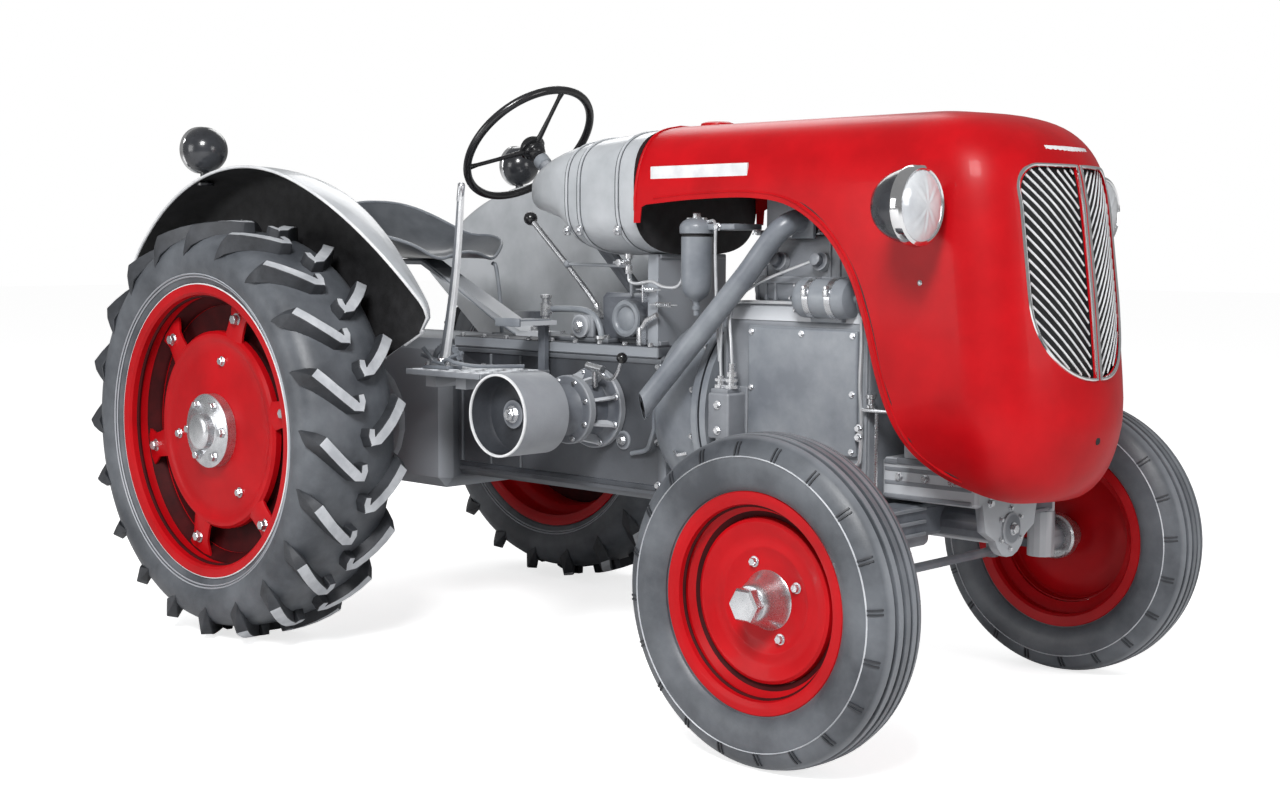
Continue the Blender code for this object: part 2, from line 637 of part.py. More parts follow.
def exhaust_pipe(body):
    """From a flange on the head, down and back beside the clutch housing, cut off level at its end."""
    start = Vector((1.560, -HEAD_HALF_WIDTH - GAP, 1.130))
    low_end = Vector((1.215, -0.335, 0.680))
    points = [start, start + Vector((0, -0.035, 0)), start + Vector((-0.030, -0.062, -0.030)), low_end]
    obj = make("exhaust_pipe", pipe(points, EXHAUST_RADIUS, 12), "bare_steel", body)
    fuse(obj, box((1.520, 1.600), (start.y, start.y - 0.012), (1.090, 1.170)))


def dynamo(body):
    y, z = -0.1985, 0.955
    profile = [(0, 0), (0.030, 0), (0.045, 0.012), (0.045, 0.150), (0.030, 0.160), (0, 0.160)]
    obj = make("dynamo", turned(profile, (1.590, y, z), (1, 0, 0), 16), "grey_paint", body)
    fuse(obj, box((1.630, 1.710), (y + 0.030, y - 0.005), (ENGINE_Z[1] + GAP, z - 0.02)))


def radiator(body):
    z = (0.600 + GAP, 1.230)
    make("radiator", box((1.880, 1.960), (-0.200, 0.200), z, 0.010), "grey_paint", body)


# ---- hood and tank ----
# height, half width, nose: the hood's plan at each level, bottom to top
HOOD_LEVELS = (
    (0.520, 0.150, 2.165),
    (0.545, 0.190, 2.198),
    (0.590, 0.228, 2.226),
    (0.660, 0.258, 2.244),
    (0.740, 0.269, 2.248),
    (0.960, 0.270, 2.226),
    (1.160, 0.268, 2.200),
    (1.240, 0.258, 2.182),
    (1.295, 0.236, 2.150),
    (1.335, 0.200, 2.100),
    (1.358, 0.150, 2.030),
    (1.370, 0.080, 1.930),
)


def hood_plan(half_width, nose, inset):
    """One level's outline, from above: a wide arc over the nose, a tighter one at each corner, straight sides."""
    scale = half_width / HOOD_HALF_WIDTH
    half = []
    for k in range(4):
        angle = NOSE_ARC_ANGLE * k / 3
        half.append((NOSE_ARC * (math.cos(angle) - 1), NOSE_ARC * math.sin(angle)))
    corner = (
        half[-1][0] - NOSE_CORNER * math.cos(NOSE_ARC_ANGLE),
        half[-1][1] - NOSE_CORNER * math.sin(NOSE_ARC_ANGLE),
    )
    for k in range(1, 5):
        angle = NOSE_ARC_ANGLE + (math.pi / 2 - NOSE_ARC_ANGLE) * k / 4
        half.append((corner[0] + NOSE_CORNER * math.cos(angle), corner[1] + NOSE_CORNER * math.sin(angle)))
    widest = half[-1][1]
    shrink = (half_width - inset) / half_width
    points = [(nose - inset + x * scale, y * half_width / widest * shrink) for x, y in half]
    rear = HOOD_REAR_X - (0.1 if inset else 0)
    points.append((rear, half_width * shrink * HOOD_REAR_SHARE))
    return points + [(x, -y) for x, y in reversed(points) if y > 0]


def hood_solid(inset=0.0):
    """The hood's outside as a solid, or with an inset, the space inside it."""
    sections = []
    for z, half_width, nose in HOOD_LEVELS:
        if inset and z == HOOD_LEVELS[0][0]:
            z -= 0.05
        elif inset:
            z -= inset * min(1, max(0, (z - 1.1) / 0.25))
        sections.append([(x, y, z) for x, y in hood_plan(half_width, nose, inset)])
    return loft(sections)


def grille_opening(margin=0.0):
    """The two openings' outlines across and up, each side of the centre bar."""
    low, high = GRILLE_Z[0] - margin, GRILLE_Z[1] + margin
    wide, bar = GRILLE_HALF_WIDTH + margin, GRILLE_BAR_HALF - margin
    shoulder = 0.055
    bend_z = 0.960
    outline = [(bar, low)]
    for k in range(1, 6):
        angle = math.pi / 2 * k / 5
        outline.append((bar + (wide - bar) * math.sin(angle), bend_z - (bend_z - low) * math.cos(angle)))
    outline += arc((wide - shoulder, high - shoulder), shoulder, 0, 90, 3)
    return outline + [(bar, high)]


def through_nose(outline, side, x):
    return loft([[(value, y * side, z) for y, z in outline] for value in x])


def hood(body):
    obj = make("hood", hood_solid(), "red_paint", body)
    side_cut = [(0.9, 0.3), (0.9, 1.130), (HOOD_REAR_X + 0.022, 1.130), (HOOD_REAR_X + 0.026, 1.170)]
    side_cut += [(1.300, 1.182), (1.500, 1.182), (1.600, 1.160), (1.690, 1.108), (1.760, 1.030), (1.800, 0.950)]
    side_cut += [(1.830, 0.860), (1.858, 0.770), (1.890, 0.700), (1.935, 0.630), (1.994, 0.586), (2.065, 0.553)]
    side_cut += [(2.130, 0.530), (2.4, 0.525), (2.4, 0.3)]
    openings = [through_nose(grille_opening(), side, (1.95, 2.4)) for _, side in SIDES]
    cut(obj, hood_solid(SHEET), slab(side_cut, (-0.5, 0.5)), *openings)


def grille(body):
    """The slatted insert, as one curved panel behind both openings."""
    obj = make("grille", hood_solid(SHEET + GAP), "grille_steel", body)
    keep = grille_opening(0.012)
    whole = [(y, z) for y, z in keep if y > 0.02]
    whole = [(-y, z) for y, z in reversed(whole)] + whole
    front = loft([[(value, y, z) for y, z in whole] for value in (2.0, 2.4)])
    boolean(obj, "INTERSECT", [front])
    cut(obj, hood_solid(SHEET + GAP + 0.006))


def tank_section(x, half_width, low, high, power=3.2, points=16):
    """A rounded box shape across the tank."""
    middle, tall = (low + high) / 2, (high - low) / 2
    section = []
    for k in range(points):
        angle = 2 * math.pi * (k + 0.5) / points
        c, s = math.cos(angle), math.sin(angle)
        y = half_width * math.copysign(abs(c) ** (2 / power), c)
        z = middle + tall * math.copysign(abs(s) ** (2 / power), s)
        section.append((x, y, z))
    return section


def fuel_tank(body):
    """The tank behind the hood, tapering towards the driver, with a tunnel for the steering column."""
    stations = (
        (0.600, 0.100, 1.180, 1.240),
        (0.660, 0.160, 1.155, 1.280),
        (0.780, 0.210, 1.125, 1.325),
        (0.850, 0.226, 1.060, 1.343),
        (0.900, 0.230, 1.050, 1.350),
        (HOOD_REAR_X - GAP, 0.236, 1.050, 1.366),
    )
    obj = make("fuel_tank", loft([tank_section(*station) for station in stations]), "light_grey_paint", body)
    tunnel = rod(
        STEERING_WHEEL_CENTRE, STEERING_WHEEL_CENTRE + COLUMN_DIRECTION * 0.7, COLUMN_RADIUS + 0.008, 12
    )
    cut(obj, tunnel)


def tank_bracket(body):
    """The upright plate on the gearbox that the tank rests on."""
    x = (1.050, 1.085)
    make("tank_bracket", box(x, (-0.130, 0.130), (GEARBOX_Z[1] + GAP, 1.050 - GAP)), "grey_paint", body)


def headlamp(name, side, body):
    """A round lamp facing forward, on a stub from the hood's side."""
    centre = Vector((LAMP_CENTRE.x, LAMP_CENTRE.y * side, LAMP_CENTRE.z))
    profile = [
        (0, 0.066), (0.045, 0.064), (0.074, 0.058), (LAMP_RADIUS, 0.050), (LAMP_RADIUS, 0.036),
        (0.078, 0.000), (0.060, -0.030), (0.030, -0.050), (0, -0.056),
    ]
    obj = make(f"{name}_headlamp", turned(profile, centre, (1, 0, 0), 20), "chrome", body)
    inner = Vector((LAMP_CENTRE.x, 0, LAMP_CENTRE.z))
    surface = hood_side_y(LAMP_CENTRE.x)
    fuse(obj, rod(
        inner + Vector((0, (surface + 0.0006) * side, 0)), inner + Vector((0, 0.330 * side, 0)), 0.018
    ))


def hood_side_y(x):
    """The hood's half width at the lamps' height, between its rear edge and the nose's corner."""
    front = NOSE_X - 0.050 - 0.184
    share = min(1, (x - HOOD_REAR_X) / (front - HOOD_REAR_X))
    return 0.268 * (HOOD_REAR_SHARE + (1 - HOOD_REAR_SHARE) * share)


# ---- fenders, lamps and seat ----
def fender_width(degrees):
    """The crown's width: full over the top and back, running out to nothing at the front."""
    share = min(1, (degrees - FENDER_ARC[0]) / 50)
    return max(0.012, FENDER_WIDTH * math.sin(share * math.pi / 2) ** 0.8)


def fender(name, side, body):
    """An upright plate beside the tyre and a crown over it, swept round the axle."""
    sections = []
    for step in range(FENDER_STEPS + 1):
        degrees = FENDER_ARC[0] + (FENDER_ARC[1] - FENDER_ARC[0]) * step / FENDER_STEPS
        angle = math.radians(degrees)
        low = (FENDER_CHORD_Z - REAR_AXLE_Z) / math.sin(angle)
        low = min(low, FENDER_RADIUS - 0.03)
        width = fender_width(degrees)
        inner = FENDER_INNER_Y
        shape = [
            (low, inner), (FENDER_RADIUS, inner), (FENDER_RADIUS + 0.07 * width, inner + width),
            (FENDER_RADIUS + 0.07 * width - SHEET, inner + width), (FENDER_RADIUS - SHEET, inner + SHEET),
            (low, inner + SHEET),
        ]
        section = []
        for radius, y in shape:
            section.append((radius * math.cos(angle), y * side, REAR_AXLE_Z + radius * math.sin(angle)))
        sections.append(section)
    obj = make(f"{name}_fender", loft(sections), "light_grey_paint", body)
    x, y, _ = REAR_LAMP_CENTRE
    crown = REAR_AXLE_Z + math.sqrt((FENDER_RADIUS + 0.07 * (y - FENDER_INNER_Y)) ** 2 - x**2)
    fuse(obj, rod((x, y * side, crown - 0.008), (x, y * side, REAR_LAMP_FOOT_Z), 0.016))


def rear_lamp(name, side, body):
    x, y, z = REAR_LAMP_CENTRE
    profile = [(0, 0.060), (0.036, 0.054)]
    profile += [
        (REAR_LAMP_RADIUS * math.sin(math.radians(a)), -REAR_LAMP_RADIUS * math.cos(math.radians(a)))
        for a in (120, 90, 60, 30, 0)
    ]
    lamp = turned(profile, (x, y * side, z), (-1, 0, 0), 16)
    obj = make(f"{name}_rear_lamp", lamp, "grey_paint", body)
    fuse(obj, rod((x, y * side, REAR_LAMP_FOOT_Z + GAP), (x, y * side, z - 0.04), 0.012, 10))


def seat_point(ring, angle, thickness):
    """A point of the dished pan: rings go out from its middle, higher at the back than at the front."""
    c, s = math.cos(angle), math.sin(angle)
    x = SEAT_HALF_LENGTH * ring * math.copysign(abs(c) ** 0.75, c)
    y = SEAT_HALF_WIDTH * ring * math.copysign(abs(s) ** 0.75, s)
    back = max(0.0, -x / SEAT_HALF_LENGTH)
    side = abs(y) / SEAT_HALF_WIDTH
    rise = 0.020 * ring**2 + 0.150 * back**2 + 0.050 * side**3
    return SEAT_CENTRE + Vector((x, y, rise - thickness))


def seat(body):
    bm = bmesh.new()
    steps, rings = 20, 4
    shells = []
    for thickness in (0.0, 0.008):
        middle = bm.verts.new(seat_point(0, 0, thickness))
        shell = []
        for ring in range(1, rings + 1):
            shell.append([
                bm.verts.new(seat_point(ring / rings, 2 * math.pi * k / steps, thickness)) for k in range(steps)
            ])
        for k in range(steps):
            bm.faces.new((middle, shell[0][k], shell[0][(k + 1) % steps]))
            for ring, after in zip(shell, shell[1:]):
                bm.faces.new((ring[k], ring[(k + 1) % steps], after[(k + 1) % steps], after[k]))
        shells.append(shell[-1])
    top, bottom = shells
    for k in range(steps):
        after = (k + 1) % steps
        bm.faces.new((top[k], top[after], bottom[after], bottom[k]))
    make("seat", bm, "grey_paint", body)


def seat_spring(body):
    """A flat bar bolted to the gearbox, rising back to the pan."""
    under = SEAT_CENTRE.z - 0.008 - GAP
    outline = [
        (0.560, 0.8203), (0.560, 0.834), (0.470, 0.834), (0.060, under - 0.004), (0.045, under),
        (-0.050, under), (-0.050, under - 0.012), (0.038, under - 0.012), (0.455, 0.8203),
    ]
    make("seat_spring", slab(outline, (-0.035, 0.035)), "grey_paint", body)


# ---- controls and fittings ----
def footrest(name, side, body):
    y = side_y(FOOT_PLATE_Y, side)
    plate = box((0.470, 0.760), y, (FOOT_PLATE_Z - 0.008, FOOT_PLATE_Z))
    obj = make(f"{name}_footrest", plate, "grey_paint", body)
    fuse(obj, *[
        box((x, x + 0.04), side_y((GEARBOX_HALF_WIDTH + GAP, 0.400), side), (FOOT_PLATE_Z - 0.045, FOOT_PLATE_Z - 0.004))
        for x in (0.500, 0.620)
    ])


def pedal(name, side, body):
    """A bent flat arm from a pivot on the gearbox, with a pad for the foot."""
    inner, outer = GEARBOX_HALF_WIDTH + 0.020, GEARBOX_HALF_WIDTH + 0.034
    rear, front = PEDAL_X - 0.013, PEDAL_X + 0.013
    arm = slab([(rear, 0.660), (front, 0.660), (front, 0.868), (rear, 0.868)], side_y((inner, outer), side))
    obj = make(name, arm, "grey_paint", body)
    fuse(
        obj,
        rod((PEDAL_X, (GEARBOX_HALF_WIDTH + GAP) * side, 0.680), (PEDAL_X, (outer + 0.006) * side, 0.680), 0.028, 12),
        box((PEDAL_X - 0.050, PEDAL_X + 0.040), side_y((inner - 0.004, 0.300), side), (0.864, 0.876)),
    )


def gear_lever(body):
    base = Vector((0.770, -0.030, GEARBOX_Z[1] + 0.040 + GAP))
    knob = Vector((0.532, -0.052, 1.146))
    points = [base, base + Vector((0, 0, 0.045)), knob]
    obj = make("gear_lever", pipe(points, 0.008, 8), "bare_steel", body)
    ball = bmesh.new()
    bmesh.ops.create_uvsphere(ball, u_segments=12, v_segments=8, radius=0.019)
    bmesh.ops.translate(ball, vec=knob, verts=ball.verts)
    fuse(obj, ball)


def hand_lever(body):
    """The long flat brake lever that stands on the right footrest."""
    foot, top = (0.520, FOOT_PLATE_Z + GAP), (0.598, 1.235)
    outline = [(foot[0] - 0.018, foot[1]), (foot[0] + 0.022, foot[1]), (top[0] + 0.007, top[1]), (top[0] - 0.007, top[1])]
    obj = make("hand_lever", slab(outline, (-0.366, -0.352)), "bare_steel", body)
    fuse(obj, box((foot[0] - 0.05, foot[0] + 0.05), (-0.385, -0.333), (foot[1], foot[1] + 0.012)))


def pulley_housing(body):
    """The side gear case and the shaft that carries the belt pulley."""
    y0 = GEARBOX_HALF_WIDTH + GAP
    end = PULLEY_INNER_Y - 0.004
    profile = [
        (0, y0), (0.098, y0), (0.098, y0 + 0.022), (0.074, y0 + 0.028), (0.070, 0.240), (0.086, 0.245), (0.086, 0.262),
        (0.055, 0.268), (0.050, end), (PULLEY_SHAFT_RADIUS, end), (PULLEY_SHAFT_RADIUS, PULLEY_INNER_Y + 0.090 - GAP),
        (0, PULLEY_INNER_Y + 0.090 - GAP),
    ]
    make("pulley_housing", turned(profile, PULLEY_CENTRE, (0, RIGHT, 0), 20), "grey_paint", body)


def belt_pulley(body):
    """A drum open at both ends, its web and hub set back inside it."""
    wide, wall = PULLEY_WIDTH, 0.006
    inner = PULLEY_RADIUS - wall
    profile = [
        (0, 0.108), (0.018, 0.108), (0.018, 0.096), (0.036, 0.096), (0.036, 0.085), (inner, 0.085), (inner, wide),
        (PULLEY_RADIUS, wide), (PULLEY_RADIUS, 0), (inner, 0), (inner, 0.075), (0.036, 0.075), (0.036, 0.002),
        (bore(PULLEY_SHAFT_RADIUS, 20), 0.002), (bore(PULLEY_SHAFT_RADIUS, 20), 0.090), (0, 0.090),
    ]
    profile = [(radius, along + PULLEY_INNER_Y) for radius, along in profile]
    make("belt_pulley", turned(profile, PULLEY_CENTRE, (0, RIGHT, 0), 20), "grey_paint", body)


def drawbar(body):
    """A flat tongue under the final drive with a drilled cross bar at its end."""
    z = (FINAL_DRIVE_LOW - GAP - 0.022, FINAL_DRIVE_LOW - GAP)
    obj = make("drawbar", box((-0.520, 0.060), (-0.040, 0.040), z), "grey_paint", body)
    fuse(obj, box((-0.460, -0.400), (-0.240, 0.240), (z[0] - 0.0001, z[1] + 0.0001)))
    holes = [rod((-0.430, y, z[0] - 0.01), (-0.430, y, z[1] + 0.01), 0.011, 12) for y in (-0.2, -0.1, 0.0, 0.1, 0.2)]
    cut(obj, *holes)


def pto_shaft(body):
    rear = FINAL_DRIVE_X[0] - GAP
    shaft = rod((rear - 0.085, 0, PTO_Z), (rear, 0, PTO_Z), PTO_RADIUS, 12)
    make("pto_shaft", shaft, "bare_steel", body)


def build():
    clear_scene()
    root = empty("tractor", (0, 0, 0))
    root.location = (ORIGIN_SHIFT, 0, 0)
    chassis = empty("chassis", (0, 0, 0), root)
    for name, side in SIDES:
        rear_wheel(name, side, empty(f"{name}_rear_wheel", (0, REAR_TRACK_HALF * side, REAR_AXLE_Z), root))
        steer = empty(f"{name}_steering", (WHEELBASE, KINGPIN_Y * side, FRONT_AXLE_Z), root)
        knuckle(name, side, steer)
        hub = (WHEELBASE, FRONT_TRACK_HALF * side, FRONT_AXLE_Z)
        front_wheel(name, side, empty(f"{name}_front_wheel", hub, steer))
        for maker in (axle_housing, fender, rear_lamp, headlamp, footrest):
            maker(name, side, chassis)
    pedal("brake_pedal", RIGHT, chassis)
    pedal("clutch_pedal", LEFT, chassis)
    tie_rod(empty("tie_rod_pivot", (WHEELBASE + TIE_ARM.x, -KINGPIN_Y + TIE_ARM.y, TIE_ROD_Z), root))
    ball = Vector((WHEELBASE, KINGPIN_Y)) + DRAG_ARM
    drag_link(empty("drag_link_ball", (*ball, BEAM_HIGH), root))
    drop_arm(empty("drop_arm_pivot", DROP_ARM_AXIS, root))
    steering_wheel(empty("steering_wheel_centre", STEERING_WHEEL_CENTRE, root))
    belt_pulley(empty("belt_pulley_axis", PULLEY_CENTRE, root))
    pto_shaft(empty("pto_axis", (FINAL_DRIVE_X[0], 0, PTO_Z), root))
    for maker in (
        steering_column, front_axle, front_axle_support, gearbox, clutch_housing, engine, fuel_filter,
        injection_pump, exhaust_pipe, dynamo, radiator, hood, grille, fuel_tank, tank_bracket, seat, seat_spring,
        gear_lever, hand_lever, pulley_housing, drawbar,
    ):
        maker(chassis)


build()
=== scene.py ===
"""Vintage tractor: the detailed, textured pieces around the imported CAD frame.

Lengths are metres. Piece coordinates are the tractor's own: X forward from the rear axle, Y to the driver's
left, Z up from the ground. place() moves each finished piece by the rear axle's place in the frame.
"""
import json
from math import asin, atan2, copysign, cos, exp, hypot, pi, radians, sin, sqrt

import bmesh
import bpy
from mathutils import Matrix, Vector

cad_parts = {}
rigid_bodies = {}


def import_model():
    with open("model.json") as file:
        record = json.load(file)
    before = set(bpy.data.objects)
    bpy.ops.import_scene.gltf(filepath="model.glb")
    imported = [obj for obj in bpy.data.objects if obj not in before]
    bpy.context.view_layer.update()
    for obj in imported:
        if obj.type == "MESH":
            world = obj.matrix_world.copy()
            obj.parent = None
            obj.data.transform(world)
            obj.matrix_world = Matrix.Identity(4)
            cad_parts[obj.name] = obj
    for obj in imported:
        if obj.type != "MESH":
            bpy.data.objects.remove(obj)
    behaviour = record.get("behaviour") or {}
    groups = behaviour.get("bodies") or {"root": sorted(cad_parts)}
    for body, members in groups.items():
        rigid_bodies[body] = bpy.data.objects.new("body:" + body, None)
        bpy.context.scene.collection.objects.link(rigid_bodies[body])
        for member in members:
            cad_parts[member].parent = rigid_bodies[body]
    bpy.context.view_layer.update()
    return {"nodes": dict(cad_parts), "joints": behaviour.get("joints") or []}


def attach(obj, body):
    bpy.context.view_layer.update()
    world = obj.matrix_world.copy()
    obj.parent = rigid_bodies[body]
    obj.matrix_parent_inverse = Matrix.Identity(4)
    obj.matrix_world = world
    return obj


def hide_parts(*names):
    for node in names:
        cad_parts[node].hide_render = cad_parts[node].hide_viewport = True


for old in list(bpy.data.objects):
    bpy.data.objects.remove(old)
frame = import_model()
JOINTS = {joint["name"]: joint for joint in frame["joints"]}
SHIFT = JOINTS["right_rear_spin"]["pos_m"][0]
REAR_Z = JOINTS["right_rear_spin"]["pos_m"][2]
WHEELBASE = JOINTS["right_front_spin"]["pos_m"][0] - SHIFT
FRONT_Z = JOINTS["right_front_spin"]["pos_m"][2]
REAR_Y = abs(JOINTS["right_rear_spin"]["pos_m"][1])
FRONT_Y = abs(JOINTS["right_front_spin"]["pos_m"][1])
SIDES = (("right", -1), ("left", 1))
AHEAD, BACK, RIGHTWARD, UP, DOWN = (1, 0, 0), (-1, 0, 0), (0, -1, 0), (0, 0, 1), (0, 0, -1)


# ---- camera ----
CAMERA_AT = Vector((4.0912, -3.3689, 1.0669))
AZIMUTH, PITCH, ROLL = radians(43.443), radians(4.971), radians(0.274)
LENS_MM, SENSOR_MM = 49.354, 36


def aim_camera():
    camera = bpy.data.objects.new("camera", bpy.data.cameras.new("camera"))
    bpy.context.scene.collection.objects.link(camera)
    camera.data.lens, camera.data.sensor_width = LENS_MM, SENSOR_MM
    ahead = Vector((-sin(AZIMUTH) * cos(PITCH), cos(AZIMUTH) * cos(PITCH), -sin(PITCH)))
    across = Vector((cos(AZIMUTH), sin(AZIMUTH), 0))
    upward = across.cross(ahead)
    right = across * cos(ROLL) + upward * sin(ROLL)
    top = upward * cos(ROLL) - across * sin(ROLL)
    turn = Matrix((right, top, -ahead)).transposed().to_4x4()
    camera.matrix_world = Matrix.Translation(CAMERA_AT + Vector((SHIFT, 0, 0))) @ turn
    bpy.context.scene.camera = camera


aim_camera()


# ---- materials ----
def node(tree, kind, **values):
    made = tree.nodes.new(kind)
    for name, value in values.items():
        if name in made.inputs:
            made.inputs[name].default_value = value
        else:
            setattr(made, name, value)
    return made


def finish_material(
    name, dark, light, rough=(0.3, 0.45), metallic=0.0, scale=18.0, grain=400.0, bump=0.1, coat=0.0,
    edge=None, shine=0.5,
):
    """Mottled colour between two values, uneven gloss, fine bump, and paler sharp edges as a painted
    highlight.
    """
    made = bpy.data.materials.new(name)
    made.use_nodes = True
    tree = made.node_tree
    shader = tree.nodes["Principled BSDF"]
    shader.inputs["Metallic"].default_value = metallic
    shader.inputs["Coat Weight"].default_value = coat
    shader.inputs["Coat Roughness"].default_value = 0.08
    shader.inputs["Specular IOR Level"].default_value = shine
    where = node(tree, "ShaderNodeTexCoord")
    cloud = node(tree, "ShaderNodeTexNoise", Scale=scale, Detail=6.0, Roughness=0.6)
    fine = node(tree, "ShaderNodeTexNoise", Scale=grain, Detail=3.0)
    for texture in (cloud, fine):
        tree.links.new(where.outputs["Object"], texture.inputs["Vector"])
    ramp = node(tree, "ShaderNodeValToRGB")
    ramp.color_ramp.elements[0].position, ramp.color_ramp.elements[1].position = 0.35, 0.65
    ramp.color_ramp.elements[0].color, ramp.color_ramp.elements[1].color = (*dark, 1), (*light, 1)
    tree.links.new(cloud.outputs["Fac"], ramp.inputs["Fac"])
    colour = ramp.outputs["Color"]
    # paler colour on sharp edges, found by pointiness: a painted highlight
    if edge:
        shape = node(tree, "ShaderNodeNewGeometry")
        edge_highlight = node(tree, "ShaderNodeMapRange")
        edge_highlight.inputs["From Min"].default_value, edge_highlight.inputs["From Max"].default_value = 0.53, 0.62
        tree.links.new(shape.outputs["Pointiness"], edge_highlight.inputs["Value"])
        mix = node(tree, "ShaderNodeMix", data_type="RGBA")
        tree.links.new(edge_highlight.outputs["Result"], mix.inputs["Factor"])
        tree.links.new(colour, mix.inputs["A"])
        mix.inputs["B"].default_value = (*edge, 1)
        colour = mix.outputs["Result"]
    tree.links.new(colour, shader.inputs["Base Color"])
    gloss = node(tree, "ShaderNodeMapRange")
    gloss.inputs["To Min"].default_value, gloss.inputs["To Max"].default_value = rough
    tree.links.new(fine.outputs["Fac"], gloss.inputs["Value"])
    tree.links.new(gloss.outputs["Result"], shader.inputs["Roughness"])
    relief = node(tree, "ShaderNodeBump", Strength=bump, Distance=0.001)
    tree.links.new(fine.outputs["Fac"], relief.inputs["Height"])
    tree.links.new(relief.outputs["Normal"], shader.inputs["Normal"])
    return made


RED = finish_material(
    "red_enamel", (0.37, 0.002, 0.005), (0.49, 0.003, 0.007), (0.34, 0.46), coat=0.05,
    bump=0.04, scale=5, shine=0.16,
)
# shaded red: painted shade in the rims' grooves and on the ring behind the rear disc
DARK_RED = finish_material(
    "shaded_red", (0.03, 0.002, 0.003), (0.055, 0.003, 0.004), (0.6, 0.7), bump=0.04,
    shine=0.15,
)
# cast grey; edge paints a highlight on sharp edges
GREY = finish_material(
    "cast_grey", (0.075, 0.083, 0.1), (0.155, 0.168, 0.19), (0.36, 0.52), scale=9, bump=0.35,
    grain=240, edge=(0.55, 0.57, 0.6),
)
# dark cast grey; edge paints a highlight on sharp edges
DARK_GREY = finish_material(
    "dark_cast_grey", (0.03, 0.034, 0.041), (0.065, 0.072, 0.085), (0.42, 0.6), scale=9,
    bump=0.35, grain=240, edge=(0.35, 0.37, 0.4),
)
PALE = finish_material(
    "pale_grey_sheet", (0.36, 0.38, 0.4), (0.5, 0.52, 0.545), (0.26, 0.4), scale=5,
    bump=0.06, coat=0.2,
)
# near black: painted shade on the tank's front cap and under the fenders, and the fan belt's own black
SHADE_AND_BELT_BLACK = finish_material(
    "painted_shade_and_belt_black", (0.008, 0.008, 0.009), (0.02, 0.02, 0.022), (0.6, 0.8), scale=30,
    bump=0.3,
)
STEEL = finish_material(
    "bright_steel", (0.5, 0.51, 0.53), (0.7, 0.71, 0.73), (0.2, 0.36), metallic=0.9,
    bump=0.08,
)
CHROME = finish_material(
    "chrome_plate", (0.78, 0.79, 0.8), (0.88, 0.88, 0.89), (0.05, 0.11), metallic=1.0, bump=0.02,
)
# tyre rubber; edge paints a highlight on sharp edges
RUBBER = finish_material(
    "tyre_rubber", (0.044, 0.049, 0.058), (0.125, 0.136, 0.152), (0.36, 0.52), scale=5,
    bump=0.25, grain=300, edge=(0.34, 0.36, 0.39),
)
# pale rubber for the lug tops and the front tyre's raised ring: a painted highlight
LUG_TOP_HIGHLIGHT = finish_material(
    "lug_top_painted_highlight", (0.4, 0.42, 0.45), (0.6, 0.62, 0.65), (0.45, 0.6), scale=14, bump=0.3,
    grain=260,
)
HULL_GREY = finish_material(
    "smooth_grey", (0.15, 0.165, 0.19), (0.26, 0.28, 0.305), (0.26, 0.4), scale=6, bump=0.12,
)
# grey for castings that sit in shade: painted shade, with a painted highlight on sharp edges
SHADOW_GREY = finish_material(
    "shaded_casting", (0.02, 0.022, 0.027), (0.05, 0.055, 0.065), (0.42, 0.6), scale=7,
    bump=0.35, grain=240, edge=(0.3, 0.32, 0.35),
)
# near-black rubber for the front tyres' raised sidewall bars: painted shade
TYRE_BAR_SHADE = finish_material(
    "tyre_bar_painted_shade", (0.018, 0.02, 0.024), (0.035, 0.038, 0.045), (0.5, 0.6), bump=0.1,
)
COPPER = finish_material(
    "bright_pipe", (0.55, 0.57, 0.59), (0.72, 0.73, 0.75), (0.25, 0.4), metallic=0.6,
    bump=0.05,
)
# rubber darker than the tyre for the lugs' sides: painted shade
LUG_SIDE_SHADE = finish_material(
    "lug_sides_painted_shade", (0.018, 0.02, 0.024), (0.045, 0.049, 0.057), (0.5, 0.66), scale=14,
    bump=0.3, grain=260,
)
BLACK = finish_material(
    "black_gloss", (0.008, 0.008, 0.009), (0.018, 0.018, 0.02), (0.18, 0.3), bump=0.03,
    coat=0.3,
)
# near black; behind the grille, in the starting hole and as the hood's bead shadow line it is painted shade
BACKING = finish_material(
    "grille_dark", (0.004, 0.004, 0.005), (0.012, 0.012, 0.014), (0.6, 0.8), bump=0.2,
)
# pale grey: the blank badge plates and grille slats; on the rim and pulley lips, the fender beads and the
# hand lever's front half it is a painted highlight
PLATE = finish_material(
    "blank_plate", (0.6, 0.61, 0.63), (0.76, 0.77, 0.78), (0.3, 0.4), bump=0.05,
)
LENS = finish_material(
    "ribbed_lens", (0.5, 0.52, 0.55), (0.68, 0.7, 0.72), (0.08, 0.14), scale=10, bump=0.05,
    coat=1.0,
)
SEAT = finish_material(
    "seat_steel", (0.055, 0.062, 0.072), (0.12, 0.13, 0.145), (0.25, 0.38), scale=5,
    bump=0.08, coat=0.3,
)
LAMP_GREY = finish_material(
    "lamp_shell", (0.015, 0.016, 0.019), (0.04, 0.043, 0.05), (0.16, 0.28), scale=8,
    bump=0.08, coat=0.3,
)


